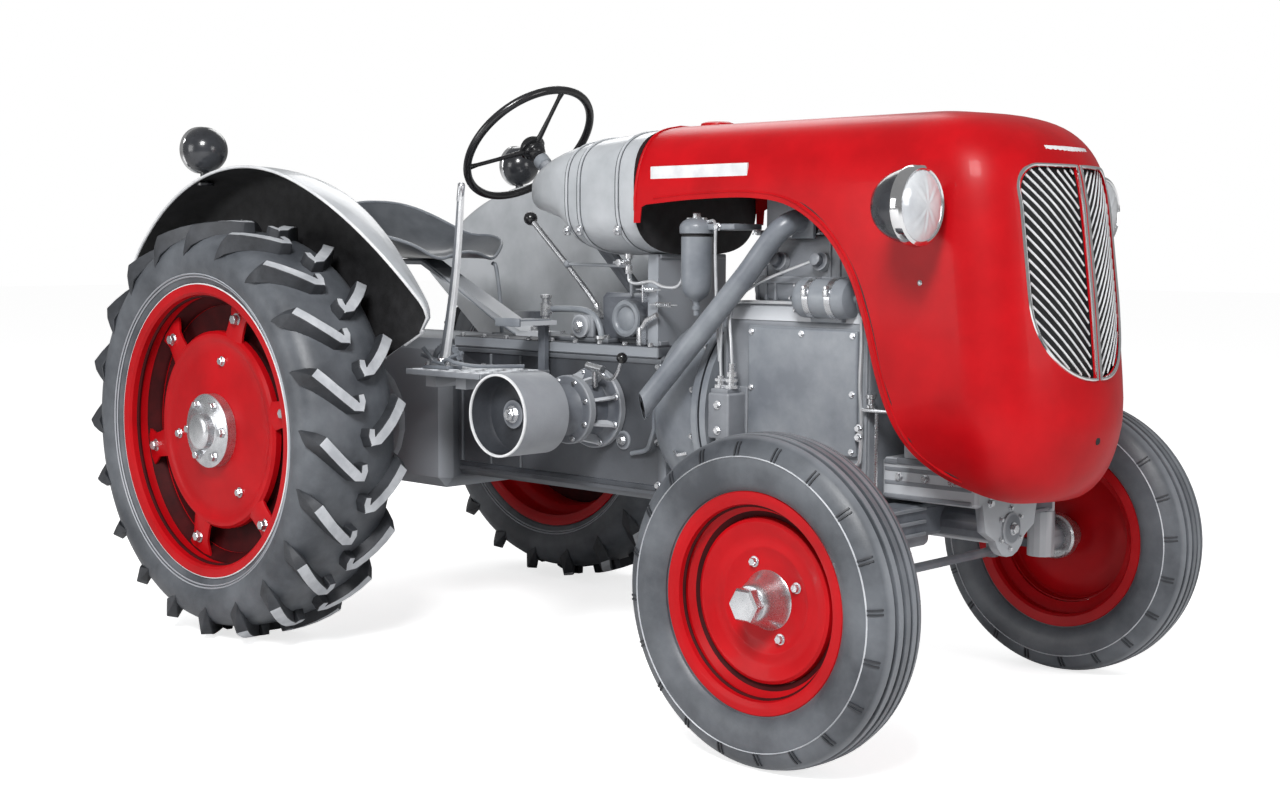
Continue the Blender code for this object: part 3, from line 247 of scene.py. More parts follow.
# ---- mesh tools ----
def place(name, bm, material, body="chassis", replaces=(), smooth=35, second=None, where=None):
    """Turns a bmesh in the tractor's coordinates into a piece that rides on a body.

    Faces for which where(centre, normal) is true wear the second material.
    """
    bmesh.ops.remove_doubles(bm, verts=bm.verts, dist=1e-6)
    bmesh.ops.recalc_face_normals(bm, faces=bm.faces)
    if second:
        bm.normal_update()
        for face in bm.faces:
            face.material_index = int(bool(where(face.calc_center_median(), face.normal)))
    bmesh.ops.translate(bm, vec=(SHIFT, 0, 0), verts=bm.verts)
    mesh = bpy.data.meshes.new(name)
    bm.to_mesh(mesh)
    bm.free()
    mesh.shade_smooth()
    mesh.set_sharp_from_angle(angle=radians(smooth))
    piece = bpy.data.objects.new(name, mesh)
    bpy.context.scene.collection.objects.link(piece)
    mesh.materials.append(material)
    if second:
        mesh.materials.append(second)
    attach(piece, body)
    if replaces:
        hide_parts(*replaces)
    return piece


def axes_for(direction):
    direction = Vector(direction).normalized()
    side = Vector((1, 0, 0)) if abs(direction.x) < 0.9 else Vector((0, 1, 0))
    side = (side - direction * side.dot(direction)).normalized()
    return Matrix((side, direction.cross(side), direction)).transposed().to_4x4()


def lathe(profile, centre, axis, steps=64, closed=True, bm=None, phase=0.0):
    """Revolves (radius, along) points about an axis through centre."""
    bm = bm or bmesh.new()
    matrix = Matrix.Translation(centre) @ axes_for(axis)
    rings = []
    for radius, along in profile:
        if radius < 1e-7:
            rings.append([bm.verts.new(matrix @ Vector((0, 0, along)))] * steps)
            continue
        ring = []
        for k in range(steps):
            angle = 2 * pi * (k + phase) / steps
            ring.append(bm.verts.new(matrix @ Vector((radius * cos(angle), radius * sin(angle), along))))
        rings.append(ring)
    pairs = list(zip(rings, rings[1:]))
    if closed:
        pairs.append((rings[-1], rings[0]))
    for ring, after in pairs:
        for k in range(steps):
            near = (k + 1) % steps
            corners = list(dict.fromkeys((ring[k], ring[near], after[near], after[k])))
            if len(corners) > 2:
                bm.faces.new(corners)
    return bm


def loft(rows, bm=None, closed=True, caps=True):
    bm = bm or bmesh.new()
    rings = [[bm.verts.new(p) for p in row] for row in rows]
    count = len(rings[0])
    for ring, after in zip(rings, rings[1:]):
        for k in range(count if closed else count - 1):
            near = (k + 1) % count
            bm.faces.new((ring[k], ring[near], after[near], after[k]))
    if caps:
        bm.faces.new(rings[0])
        bm.faces.new(rings[-1])
    return bm


def pipe(points, radius, steps=12, bm=None):
    """A tube along points; radius is one value or one per point."""
    points = [Vector(p) for p in points]
    radii = radius if isinstance(radius, (list, tuple)) else [radius] * len(points)
    side = (points[1] - points[0]).orthogonal().normalized()
    rows = []
    for index, point in enumerate(points):
        before = (point - points[index - 1]) if index else points[1] - points[0]
        after = (points[index + 1] - point) if index + 1 < len(points) else before
        tangent = (before.normalized() + after.normalized()).normalized()
        side = (side - tangent * side.dot(tangent)).normalized()
        up = tangent.cross(side)
        rows.append([
            point + (side * cos(2 * pi * k / steps) + up * sin(2 * pi * k / steps)) * radii[index]
            for k in range(steps)
        ])
    return loft(rows, bm)


def ring_tube(points, radius, steps=8, bm=None):
    """A closed tube round a loop of points."""
    bm = bm or bmesh.new()
    points = [Vector(p) for p in points]
    count = len(points)
    normal = Vector()
    for k in range(count):
        normal += points[k].cross(points[(k + 1) % count])
    rings = []
    for k, point in enumerate(points):
        tangent = (points[(k + 1) % count] - points[k - 1]).normalized()
        side = tangent.cross(normal).normalized()
        up = side.cross(tangent)
        rings.append([
            bm.verts.new(point + (side * cos(2 * pi * j / steps) + up * sin(2 * pi * j / steps)) * radius)
            for j in range(steps)
        ])
    for k in range(count):
        ring, after = rings[k], rings[(k + 1) % count]
        for j in range(steps):
            bm.faces.new((ring[j], ring[(j + 1) % steps], after[(j + 1) % steps], after[j]))
    return bm


def smooth_path(points, per=6):
    """Catmull-Rom points through a short list."""
    points = [Vector(p) for p in points]
    full = [points[0] * 2 - points[1], *points, points[-1] * 2 - points[-2]]
    out = []
    for a, b, c, d in zip(full, full[1:], full[2:], full[3:]):
        for k in range(per):
            t = k / per
            out.append(0.5 * (
                2 * b + (c - a) * t + (2 * a - 5 * b + 4 * c - d) * t**2 + (3 * b - a - 3 * c + d) * t**3
            ))
    return out + [points[-1]]


def block(x, y, z, bevel=0.003, bm=None):
    made = bmesh.new()
    bmesh.ops.create_cube(made, size=1)
    low, high = Vector((min(x), min(y), min(z))), Vector((max(x), max(y), max(z)))
    bmesh.ops.scale(made, vec=high - low, verts=made.verts)
    bmesh.ops.translate(made, vec=(low + high) / 2, verts=made.verts)
    if bevel:
        bmesh.ops.bevel(made, geom=made.edges, offset=bevel, segments=3, profile=0.5, affect="EDGES")
    return join(bm, made)


def join(bm, other):
    if bm is None:
        return other
    held = bpy.data.meshes.new("held")
    other.to_mesh(held)
    other.free()
    bm.from_mesh(held)
    bpy.data.meshes.remove(held)
    return bm


def bolt(bm, at, axis, across_flats=0.019, height=0.009, washer=True):
    """A hex head with a chamfer, on a washer."""
    radius = across_flats / 2 / cos(pi / 6)
    base = 0.002 if washer else 0
    made = bmesh.new()
    lathe([
        (0, base), (radius, base), (radius, base + height * 0.8), (radius * 0.86, base + height),
        (0, base + height),
    ], at, axis, 6, bm=made)
    if washer:
        lathe([
            (0, -0.001), (radius * 1.25, -0.001), (radius * 1.25, base), (0, base),
        ], at, axis, 18, bm=made)
    return join(bm, made)


def bolt_ring(bm, centre, axis, radius, angles, across_flats, height):
    """Bolts round an X or Y axis, at angles in degrees."""
    for degrees in angles:
        angle = radians(degrees)
        if axis[0]:
            out = Vector((0, cos(angle), sin(angle)))
        else:
            out = Vector((cos(angle), 0, sin(angle)))
        bolt(bm, Vector(centre) + out * radius, axis, across_flats, height)


def plug(radius, low, high):
    """The profile of a plain round piece."""
    return [(0, low), (radius, low), (radius, high), (0, high)]


def ball(radius, parts):
    """The profile of a sphere."""
    angles = [pi * k / parts for k in range(parts + 1)]
    return [(radius * sin(angle), -radius * cos(angle)) for angle in angles]


# ---- rear wheels ----
LUGS = 20
CARCASS = [  # radius, distance from the tyre's middle, crown to bead
    (0.5395, 0.0), (0.5385, 0.035), (0.535, 0.07), (0.528, 0.098), (0.515, 0.121), (0.497, 0.137),
    (0.474, 0.1455), (0.45, 0.1455), (0.428, 0.138), (0.411, 0.129), (0.4035, 0.1265), (0.4, 0.121),
    (0.372, 0.117),
]
LUG_PATH = [  # distance across, back along the tread, half width, top radius, foot radius
    (0.012, 0.04, 0.009, 0.5688, 0.532), (0.01, 0.022, 0.011, 0.5688, 0.532),
    (0.015, 0.006, 0.0135, 0.5688, 0.532), (0.032, 0.01, 0.015, 0.5688, 0.532),
    (0.056, 0.03, 0.015, 0.568, 0.53), (0.082, 0.054, 0.015, 0.565, 0.526),
    (0.106, 0.08, 0.0155, 0.56, 0.515), (0.128, 0.106, 0.016, 0.553, 0.498),
    (0.139, 0.12, 0.013, 0.528, 0.486), (0.1445, 0.13, 0.009, 0.503, 0.478),
    (0.1455, 0.137, 0.004, 0.482, 0.47),
]


def rear_tyre(name, side, body):
    centre = Vector((0, REAR_Y * side, REAR_Z))
    full = CARCASS + [(r, -y) for r, y in reversed(CARCASS)]
    bm = lathe(full, centre, (0, 1, 0), 120)
    place(f"{name}_rear_tyre", bm, RUBBER, body, [f"{name}_tyre_rear"], 40)
    bm = bmesh.new()
    for half in (1, -1):
        for k in range(LUGS):
            base = 2 * pi * (k + (0.5 if half * side > 0 else 0)) / LUGS
            rows = []
            for index, (y, back, wide, high, low) in enumerate(LUG_PATH):
                near = LUG_PATH[min(index + 1, len(LUG_PATH) - 1)]
                past = LUG_PATH[max(index - 1, 0)]
                step = Vector((near[0] - past[0], near[1] - past[1])).normalized()
                across_lug = Vector((-step.y, step.x))
                row = []
                for radius, grow, sign in ((low, 1.45, -1), (high, 1, -1), (high, 1, 1), (low, 1.45, 1)):
                    spot = Vector((y, back)) + across_lug * wide * grow * sign
                    angle = base + spot.y / 0.569
                    row.append(
                        centre + Vector((
                            cos(angle) * radius, min(spot.x, 0.1465) * half, sin(angle) * radius,
                        ))
                    )
                rows.append(row)
            loft(rows, bm)
    bmesh.ops.bevel(
        bm, geom=[e for e in bm.edges if e.calc_length() > 0.004], offset=0.0016, segments=1,
        affect="EDGES",
    )
    for vertex in bm.verts:
        reach = hypot(vertex.co.x - centre.x, vertex.co.z - centre.z)
        if vertex.co.z < 0.0003:
            vertex.co.z = 0.0003
        if reach > REAR_Z:
            vertex.co.x *= REAR_Z / reach
            vertex.co.z = centre.z + (vertex.co.z - centre.z) * REAR_Z / reach

    # the lugs' outward top faces wear pale rubber as a painted highlight; the rest of each lug stays dark
    # as painted shade
    def on_top(middle, normal):
        out = Vector((middle.x - centre.x, 0, middle.z - centre.z))
        return out.length > 0.5495 and normal.dot(out.normalized()) > 0.8

    place(f"{name}_rear_lugs", bm, LUG_SIDE_SHADE, body, smooth=25, second=LUG_TOP_HIGHLIGHT, where=on_top)
    bm = bmesh.new()
    for half in (1, -1):
        for radius, y in ((0.4235, 0.1365), (0.4165, 0.133)):
            lathe([
                (radius - 0.0022, y * half), (radius, (y + 0.0028) * half),
                (radius + 0.0022, (y + 0.001) * half),
            ], centre, (0, 1, 0), 96, bm=bm)
    place(f"{name}_rear_bead_ribs", bm, RUBBER, body)


def rear_wheel(name, side, body):
    centre = Vector((0, REAR_Y * side, REAR_Z))
    axis = (0, side, 0)
    rear_tyre(name, side, body)
    rim = [
        (0.3965, 0.125), (0.3985, 0.1225), (0.3985, 0.1195), (0.391, 0.118), (0.376, 0.1165),
        (0.3715, 0.112), (0.3705, 0.064), (0.366, 0.058), (0.349, 0.042), (0.345, 0.034), (0.345, -0.034),
        (0.349, -0.042), (0.366, -0.058), (0.3705, -0.064), (0.3715, -0.112), (0.376, -0.1165),
        (0.391, -0.118), (0.3985, -0.1195), (0.3985, -0.1225), (0.3965, -0.125), (0.388, -0.1245),
        (0.372, -0.122), (0.3655, -0.116), (0.3648, -0.068), (0.36, -0.061), (0.343, -0.045),
        (0.339, -0.036), (0.339, 0.036), (0.343, 0.045), (0.36, 0.061), (0.3648, 0.068), (0.3655, 0.09),
        (0.3605, 0.094), (0.3605, 0.098), (0.3655, 0.102), (0.3675, 0.116), (0.374, 0.1225),
        (0.388, 0.1248),
    ]

    # the rim's groove and well wear shaded red: painted shade
    def in_groove(middle, normal):
        reach, along = hypot(middle.x, middle.z - REAR_Z), (middle.y - centre.y) * side
        return 0.359 < reach < 0.3655 and 0.085 < along < 0.108 or reach < 0.365 and 0.038 < along < 0.069

    place(
        f"{name}_rear_rim", lathe(rim, centre, axis, 120), RED, body, [f"{name}_rim_rear"], 35, DARK_RED,
        in_groove,
    )
    # a pale ring on the rim's rolled lip: painted highlight
    edge = [(0.3962 + 0.0028 * cos(a * pi / 4), 0.1226 + 0.0026 * sin(a * pi / 4)) for a in range(8)]
    place(f"{name}_rear_rim_edge", lathe(edge, centre, axis, 120), PLATE, body)
    o = 0.712 - REAR_Y  # the disc's plane, out from the tyre's middle
    disc = [
        (0.098, o + 0.012), (0.11, o + 0.011), (0.125, o + 0.006), (0.15, o + 0.004), (0.205, o + 0.0025),
        (0.232, o + 0.002), (0.243, o + 0.006), (0.252, o + 0.01), (0.262, o + 0.009), (0.269, o + 0.002),
        (0.27, o - 0.014), (0.265, o - 0.014), (0.262, o + 0.001), (0.25, o + 0.004), (0.24, o - 0.001),
        (0.205, o - 0.004), (0.15, o - 0.003), (0.125, o - 0.001), (0.098, o + 0.004),
    ]
    bm = lathe(disc, centre, axis, 96)
    for k in range(6):
        angle = radians(12 + 60 * k)
        out, round_ = Vector((cos(angle), 0, sin(angle))), Vector((-sin(angle), 0, cos(angle)))
        rows = []
        for reach, wide, lift in (
            (0.255, 0.04, 0.004), (0.285, 0.036, 0.003), (0.318, 0.034, 0.0), (0.34, 0.044, -0.004),
            (0.3605, 0.052, -0.006),
        ):
            rows.append([
                centre + out * (reach if reach < 0.36 else sqrt(0.3605**2 - w * w)) + round_ * w
                + Vector((0, (o + y + lift) * side, 0))
                for w, y in (
                    (-wide, -0.006), (-wide, 0), (-wide * 0.55, 0.005), (wide * 0.55, 0.005), (wide, 0),
                    (wide, -0.006),
                )
            ])
        loft(rows, bm)
    place(f"{name}_rear_disc", bm, RED, body, [f"{name}_disc_rear"])
    # a shaded red ring behind the disc darkens the gap to the rim: painted shade
    web = [
        (0.24, o - 0.012), (0.262, o - 0.034), (0.3, o - 0.04), (0.3395, o - 0.036), (0.3395, o - 0.04),
        (0.3, o - 0.044), (0.26, o - 0.038), (0.236, o - 0.016),
    ]
    place(f"{name}_rear_web", lathe(web, centre, axis, 96), DARK_RED, body)
    bm = bmesh.new()
    for radius, out_by, angles, across_flats, height in (
        (0.318, o + 0.004, range(12, 360, 60), 0.024, 0.013),
        (0.19, o + 0.0035, (82, 187, 302), 0.019, 0.009),
        (0.078, 0.7535 - REAR_Y, range(0, 360, 60), 0.02, 0.011),
    ):
        bolt_ring(bm, centre + Vector((0, out_by * side, 0)), axis, radius, angles, across_flats, height)
    place(f"{name}_rear_bolts", bm, STEEL, body)
    h = 0.74 - REAR_Y
    hub = [
        (0, h + 0.044), (0.03, h + 0.044), (0.044, h + 0.0415), (0.0485, h + 0.037), (0.0485, h + 0.018),
        (0.054, h + 0.0145), (0.094, h + 0.0135), (0.1, h + 0.01), (0.1, h - 0.016), (0.085, h - 0.02),
        (0.085, 0.66 - REAR_Y), (0.034, 0.66 - REAR_Y), (0, 0.66 - REAR_Y),
    ]
    bm = lathe(hub, centre, axis, 64)
    block((-0.066, -0.045), ((0.7535) * side, 0.77 * side), (REAR_Z - 0.007, REAR_Z + 0.007), 0.002, bm)
    place(f"{name}_rear_hub", bm, STEEL, body)


# ---- front wheels ----
FRONT_SECTION = [  # radius, distance from the middle: ribs and grooves, shoulder, sidewall, bead
    (0.3465, 0.0), (0.3465, 0.0065), (0.335, 0.0085), (0.335, 0.0145), (0.346, 0.0165), (0.3455, 0.029),
    (0.334, 0.0315), (0.3335, 0.0375), (0.343, 0.04), (0.3405, 0.05), (0.334, 0.058), (0.324, 0.066),
    (0.306, 0.0745), (0.2975, 0.0768), (0.278, 0.0785), (0.26, 0.0755),
    (0.245, 0.069), (0.237, 0.064), (0.2335, 0.06), (0.2335, 0.056), (0.206, 0.052),
]


def front_wheel(name, side, body):
    centre = Vector((WHEELBASE, FRONT_Y * side, FRONT_Z))
    axis = (0, side, 0)
    full = FRONT_SECTION + [(r, -y) for r, y in reversed(FRONT_SECTION[1:])]
    place(
        f"{name}_front_tyre", lathe(full, centre, (0, 1, 0), 112), RUBBER, body, [f"{name}_tyre_front"], 30,
    )
    # raised sidewall bars in near-black rubber: painted shade
    bm = bmesh.new()
    for half in (1, -1):
        for k in range(20):
            for offset in (-0.8, 0.8):
                angle = 2 * pi * (k + 0.3) / 20 + radians(offset)
                out = Vector((cos(angle), 0, sin(angle)))
                round_ = Vector((-sin(angle), 0, cos(angle))) * 0.0016
                rows = []
                for radius, y in ((0.3045, 0.0745), (0.314, 0.0715), (0.324, 0.0662), (0.3315, 0.06)):
                    at = centre + out * radius
                    inner, outer = Vector((0, (y - 0.004) * half, 0)), Vector((0, (y + 0.0032) * half, 0))
                    rows.append([
                        at + inner - round_, at + outer - round_, at + outer + round_, at + inner + round_,
                    ])
                loft(rows, bm)
    place(f"{name}_front_tyre_bars", bm, TYRE_BAR_SHADE, body, smooth=20)
    # a thin pale ring on the sidewall's raised circle: painted highlight
    bm = bmesh.new()
    for half in (1, -1):
        lathe([
            (0.3005, 0.0752 * half), (0.3022, 0.0785 * half), (0.304, 0.0742 * half),
        ], centre, (0, 1, 0), 112, bm=bm)
    place(f"{name}_front_tyre_line", bm, LUG_TOP_HIGHLIGHT, body)
    rim = [
        (0.229, 0.0575), (0.231, 0.0555), (0.23, 0.053), (0.211, 0.051), (0.2055, 0.047), (0.205, 0.024),
        (0.196, 0.018), (0.18, 0.012), (0.178, -0.012), (0.196, -0.02), (0.205, -0.026), (0.2055, -0.047),
        (0.211, -0.051), (0.23, -0.053), (0.231, -0.0555), (0.229, -0.0575), (0.22, -0.0565),
        (0.206, -0.0545), (0.2, -0.048), (0.1995, -0.028), (0.19, -0.024), (0.174, -0.016), (0.174, 0.01),
        (0.186, 0.017), (0.193, 0.0225), (0.1995, 0.027), (0.2, 0.0345), (0.196, 0.0375), (0.196, 0.0395),
        (0.2005, 0.043), (0.203, 0.052), (0.212, 0.056), (0.22, 0.0572),
    ]

    # the rim's groove and inner band wear shaded red: painted shade
    def in_groove(middle, normal):
        reach, along = hypot(middle.x - centre.x, middle.z - FRONT_Z), (middle.y - centre.y) * side
        return 0.1945 < reach < 0.2012 and 0.033 < along < 0.044 or 0.173 < reach < 0.188 and along > 0.0

    place(
        f"{name}_front_rim", lathe(rim, centre, axis, 96), RED, body, [f"{name}_rim_front"], 35, DARK_RED,
        in_groove,
    )
    disc = [
        (0.04, 0.004), (0.06, 0.004), (0.078, 0.0042), (0.1, 0.006), (0.108, 0.011), (0.114, 0.0125),
        (0.122, 0.0095), (0.14, 0.014), (0.156, 0.022), (0.164, 0.0235), (0.171, 0.02), (0.1735, 0.008),
        (0.1735, -0.008), (0.17, -0.008), (0.168, 0.014), (0.162, 0.0185), (0.154, 0.0165), (0.138, 0.0085),
        (0.122, 0.004), (0.1, -0.0005), (0.04, -0.002),
    ]
    place(f"{name}_front_disc", lathe(disc, centre, axis, 96), RED, body)
    hub = [
        (0, 0.062), (0.037, 0.0615), (0.04, 0.058), (0.044, 0.047), (0.0545, 0.019), (0.06, 0.007),
        (0.0625, 0.0045), (0.0625, 0.002), (0.04, 0.002), (0.04, -0.03), (0.048, -0.034), (0.0565, -0.042),
        (0.0565, -0.066), (0.052, -0.072), (0.034, -0.0745), (0, -0.0745),
    ]
    bm = lathe(hub, centre, axis, 48)
    lathe([
        (0, 0.06), (0.0375, 0.06), (0.0375, 0.082), (0.033, 0.0875), (0, 0.0875),
    ], centre, axis, 6, bm=bm)
    place(f"{name}_front_hub", bm, STEEL, body, [f"{name}_hub_front"])
    bm = bmesh.new()
    bolt_ring(bm, centre + Vector((0, 0.0045 * side, 0)), axis, 0.084, range(25, 360, 90), 0.016, 0.009)
    place(f"{name}_front_bolts", bm, STEEL, body)


# ---- hood ----
SHEET = 0.006
NOSE_ANGLE = radians(28.3)
LEVELS = (  # height, half width, nose
    (0.52, 0.15, 2.165), (0.545, 0.19, 2.198), (0.59, 0.228, 2.226), (0.66, 0.258, 2.244),
    (0.74, 0.269, 2.248), (0.96, 0.27, 2.226), (1.16, 0.268, 2.2), (1.24, 0.258, 2.182),
    (1.295, 0.236, 2.15), (1.335, 0.2, 2.1), (1.358, 0.15, 2.03), (1.37, 0.08, 1.93),
)
HOOD_REAR = 1.1


def levels_at(z):
    """Half width and nose at a height, smoothly between the table's rows."""
    for index in range(len(LEVELS) - 1):
        if z <= LEVELS[index + 1][0] or index == len(LEVELS) - 2:
            break
    (z0, w0, n0), (z1, w1, n1) = LEVELS[index], LEVELS[index + 1]
    share = min(1, max(0, (z - z0) / (z1 - z0)))
    return w0 + (w1 - w0) * share, n0 + (n1 - n0) * share


def hood_plan(half_width, nose, steps=22, rear=HOOD_REAR):
    """From the middle of the nose back along one side, as (x, y)."""
    scale = half_width / 0.27
    half = []
    for k in range(steps // 2 + 1):
        angle = NOSE_ANGLE * k / (steps // 2)
        half.append((0.4 * (cos(angle) - 1), 0.4 * sin(angle)))
    cx = half[-1][0] - 0.152 * cos(NOSE_ANGLE)
    cy = half[-1][1] - 0.152 * sin(NOSE_ANGLE)
    for k in range(1, steps // 2 + 1):
        angle = NOSE_ANGLE + (pi / 2 - NOSE_ANGLE) * k / (steps // 2)
        half.append((cx + 0.152 * cos(angle), cy + 0.152 * sin(angle)))
    widest = half[-1][1]
    points = [(nose + x * scale, y * half_width / widest) for x, y in half]
    start = points[-1][0]
    for k in range(1, 9):
        share = k / 8
        points.append((start + (rear - start) * share, half_width * (1 - 0.12 * share)))
    return points


def hood_y(x, z):
    """The hood's half width at a place along it and a height."""
    half_width, nose = levels_at(z)
    plan = hood_plan(half_width, nose)
    for (x0, y0), (x1, y1) in zip(plan, plan[1:]):
        if x1 <= x <= x0:
            return y0 + (y1 - y0) * (x0 - x) / max(1e-9, x0 - x1)
    return plan[-1][1] if x < plan[-1][0] else 0.0


def nose_x(y, z):
    """How far forward the nose reaches at a distance across and a height."""
    half_width, nose = levels_at(z)
    plan = hood_plan(half_width, nose)
    for (x0, y0), (x1, y1) in zip(plan, plan[1:]):
        if y0 <= abs(y) <= y1 + 1e-9:
            return x0 + (x1 - x0) * (abs(y) - y0) / max(1e-9, y1 - y0)
    return plan[-1][0]


def smooth_levels(count=6):
    # a level's vector holds the height in x, the half width in y and the nose in z
    out = smooth_path([Vector(level) for level in LEVELS], count)
    return [(v.x, min(v.y, 0.27), min(v.z, 2.248)) for v in out]


def hood_body(inset=0.0):
    rows = []
    for z, half_width, nose in smooth_levels(4):
        if inset:
            z -= inset * min(1, max(0, (z - 1.1) / 0.25)) + (0.05 if z < 0.53 else 0)
            half_width, nose = half_width - inset, nose - inset
        plan = hood_plan(half_width, nose, rear=HOOD_REAR - (0.1 if inset else 0))
        rows.append(
            [Vector((x, y, z)) for x, y in plan] + [Vector((x, -y, z)) for x, y in reversed(plan[1:])]
        )
    return loft(rows)


SIDE_EDGE = smooth_path([
    (1.14, 0, 1.172), (1.3, 0, 1.182), (1.48, 0, 1.183), (1.6, 0, 1.162), (1.7, 0, 1.102), (1.77, 0, 1.015),
    (1.815, 0, 0.91), (1.848, 0, 0.8), (1.882, 0, 0.715), (1.93, 0, 0.636), (1.994, 0, 0.584),
    (2.065, 0, 0.553), (2.13, 0, 0.53),
], 6)
GRILLE_LOW, GRILLE_HIGH, GRILLE_HALF, GRILLE_BAR = 0.797, 1.24, 0.18, 0.012


def grille_outline(margin=0.0, steps=14):
    low, high = GRILLE_LOW - margin, GRILLE_HIGH + margin
    wide, bar = GRILLE_HALF + margin, GRILLE_BAR - margin
    bend = 0.975
    points = [(bar, low)]
    for k in range(1, steps + 1):
        angle = pi / 2 * k / steps
        points.append((bar + (wide - bar) * sin(angle) ** 0.9, bend - (bend - low) * cos(angle) ** 0.9))
    for k in range(1, steps + 1):
        angle = pi / 2 * k / steps
        points.append((wide - 0.055 + 0.055 * cos(angle), high - 0.055 + 0.055 * sin(angle)))
    return points + [(bar, high)]


def boolean_cut(piece, cutters):
    for index, bm in enumerate(cutters):
        helper = place(f"{piece.name}_cutter_{index}", bm, RED)
        modifier = piece.modifiers.new(f"cut_{index}", "BOOLEAN")
        modifier.object, modifier.operation, modifier.solver = helper, "DIFFERENCE", "EXACT"
        bpy.context.view_layer.objects.active = piece
        bpy.context.view_layer.update()
        cut = bpy.data.meshes.new_from_object(piece.evaluated_get(bpy.context.evaluated_depsgraph_get()))
        piece.modifiers.clear()
        piece.data = cut
        bpy.data.objects.remove(helper)
    piece.data.shade_smooth()
    piece.data.set_sharp_from_angle(angle=radians(30))


def prism(outline, y):
    return loft([[Vector((x, value, z)) for x, z in outline] for value in y])


def hood():
    piece = place("hood_panel", hood_body(), RED, replaces=["hood"])
    side = [(0.9, 0.3), (0.9, 1.128), (HOOD_REAR + 0.022, 1.128), (HOOD_REAR + 0.026, 1.166)]
    side += [(p.x, p.z) for p in SIDE_EDGE] + [(2.4, 0.524), (2.4, 0.3)]
    cutters = [hood_body(SHEET), prism(side, (-0.5, 0.5))]
    for _, sign in SIDES:
        cutters.append(loft([[Vector((x, y * sign, z)) for y, z in grille_outline()] for x in (1.95, 2.4)]))
    boolean_cut(piece, cutters)
    # raised bead with its dark line, just inside the edge
    for line, inset, radius, material in (
        ("bead", 0.0135, 0.0042, RED), ("bead_shadow", 0.0205, 0.003, BACKING),
    ):
        for name, sign in SIDES:
            points = []
            for before, here, after in zip(SIDE_EDGE, SIDE_EDGE[1:], SIDE_EDGE[2:]):
                run = (after - before).normalized()
                spot = here + Vector((-run.z, 0, run.x)) * inset
                if spot.x < 2.05:
                    points.append(
                        Vector((
                            spot.x,
                            (hood_y(spot.x, spot.z) - (0.0005 if line == "bead" else 0.0022)) * sign,
                            spot.z,
                        ))
                    )
            place(f"hood_{line}_{name}", pipe(points, radius, 8), material)
    for name, sign in SIDES:
        rows = []
        for x, z in ((1.15, 0), (1.3, 0.0), (1.465, 0.0)):
            rows.append([
                Vector((x, (hood_y(x, 1.245) + d) * sign, 1.245 + dz))
                for d, dz in (
                    (-0.002, -0.019), (0.0012, -0.019), (0.003, -0.017), (0.003, 0.017), (0.0012, 0.019),
                    (-0.002, 0.019),
                )
            ])
        place(f"hood_side_plate_{name}", loft(rows), PLATE)
    rows = []
    for k in range(13):
        y = -0.085 + 0.17 * k / 12
        rows.append([
            Vector((nose_x(y, z) + d, y, z))
            for d, z in ((-0.002, 1.262), (0.003, 1.264), (0.003, 1.286), (-0.002, 1.288))
        ])
    place("hood_front_plate", loft(rows), PLATE)
    cap = [(0, 0.0), (0.03, 0.0), (0.041, -0.004), (0.043, -0.01), (0.043, -0.03), (0, -0.03)]
    place("filler_cap", lathe(cap, (1.165, 0, 1.383), UP, 40), RED)
    # a near-black disc in the starting handle's hole: painted shade
    bm = lathe([
        (0.0, 0.0012), (0.008, 0.0012), (0.01, -0.002), (0, -0.003),
    ], (nose_x(0, 0.662), 0, 0.662), AHEAD, 20)
    place("starting_hole", bm, BACKING)


def grille():
    bm = bmesh.new()
    for _, sign in SIDES:
        outline = grille_outline(0.004)
        loop = [Vector((nose_x(y, z) + 0.0005, y * sign, z)) for y, z in outline]
        dense = []
        for a, b in zip(loop, loop[1:] + loop[:1]):
            count = max(1, int((b - a).length / 0.012))
            for k in range(count):
                spot = a.lerp(b, k / count)
                dense.append(Vector((nose_x(spot.y, spot.z) + 0.0005, spot.y, spot.z)))
        ring_tube(dense, 0.0042, 8, bm)
    place("grille_surround", bm, CHROME)
    bm = bmesh.new()
    slope = 1.02
    for _, sign in SIDES:
        outline = grille_outline(-0.001)
        for k in range(30):
            foot = 0.64 + 0.0242 * k  # height where the slat meets the centre bar
            points = []
            for j in range(24):
                y = GRILLE_BAR + (GRILLE_HALF - GRILLE_BAR) * j / 23
                z = foot + slope * (y - GRILLE_BAR)
                if inside(outline, y, z):
                    points.append((y, z))
            if len(points) < 2:
                continue
            rows = []
            for y, z in points:
                x = nose_x(y, z) - 0.006
                rows.append([
                    Vector((x + dx, y * sign, z + dz))
                    for dx, dz in (
                        (0.0015, -0.0026), (0.003, 0.0002), (0.0015, 0.003), (-0.0005, 0.0028),
                        (-0.0005, -0.0024),
                    )
                ])
            loft(rows, bm)
    place("grille_slats", bm, PLATE, replaces=["grille"])
    # a near-black sheet behind the slats: painted shade inside the nose
    rows = []
    for k in range(25):
        y = -0.19 + 0.38 * k / 24
        rows.append([
            Vector((nose_x(y, z) - 0.016 - dx, y, z))
            for z, dx in (
                (0.79, 0), (0.9, 0), (1.0, 0), (1.1, 0), (1.25, 0), (1.25, 0.004), (1.1, 0.004),
                (1.0, 0.004), (0.9, 0.004), (0.79, 0.004),
            )
        ])
    place("grille_backing", loft(rows), BACKING)


def inside(outline, y, z):
    found = False
    for (y0, z0), (y1, z1) in zip(outline, outline[1:] + outline[:1]):
        if (z0 > z) != (z1 > z) and y < (y1 - y0) * (z - z0) / (z1 - z0) + y0:
            found = not found
    return found


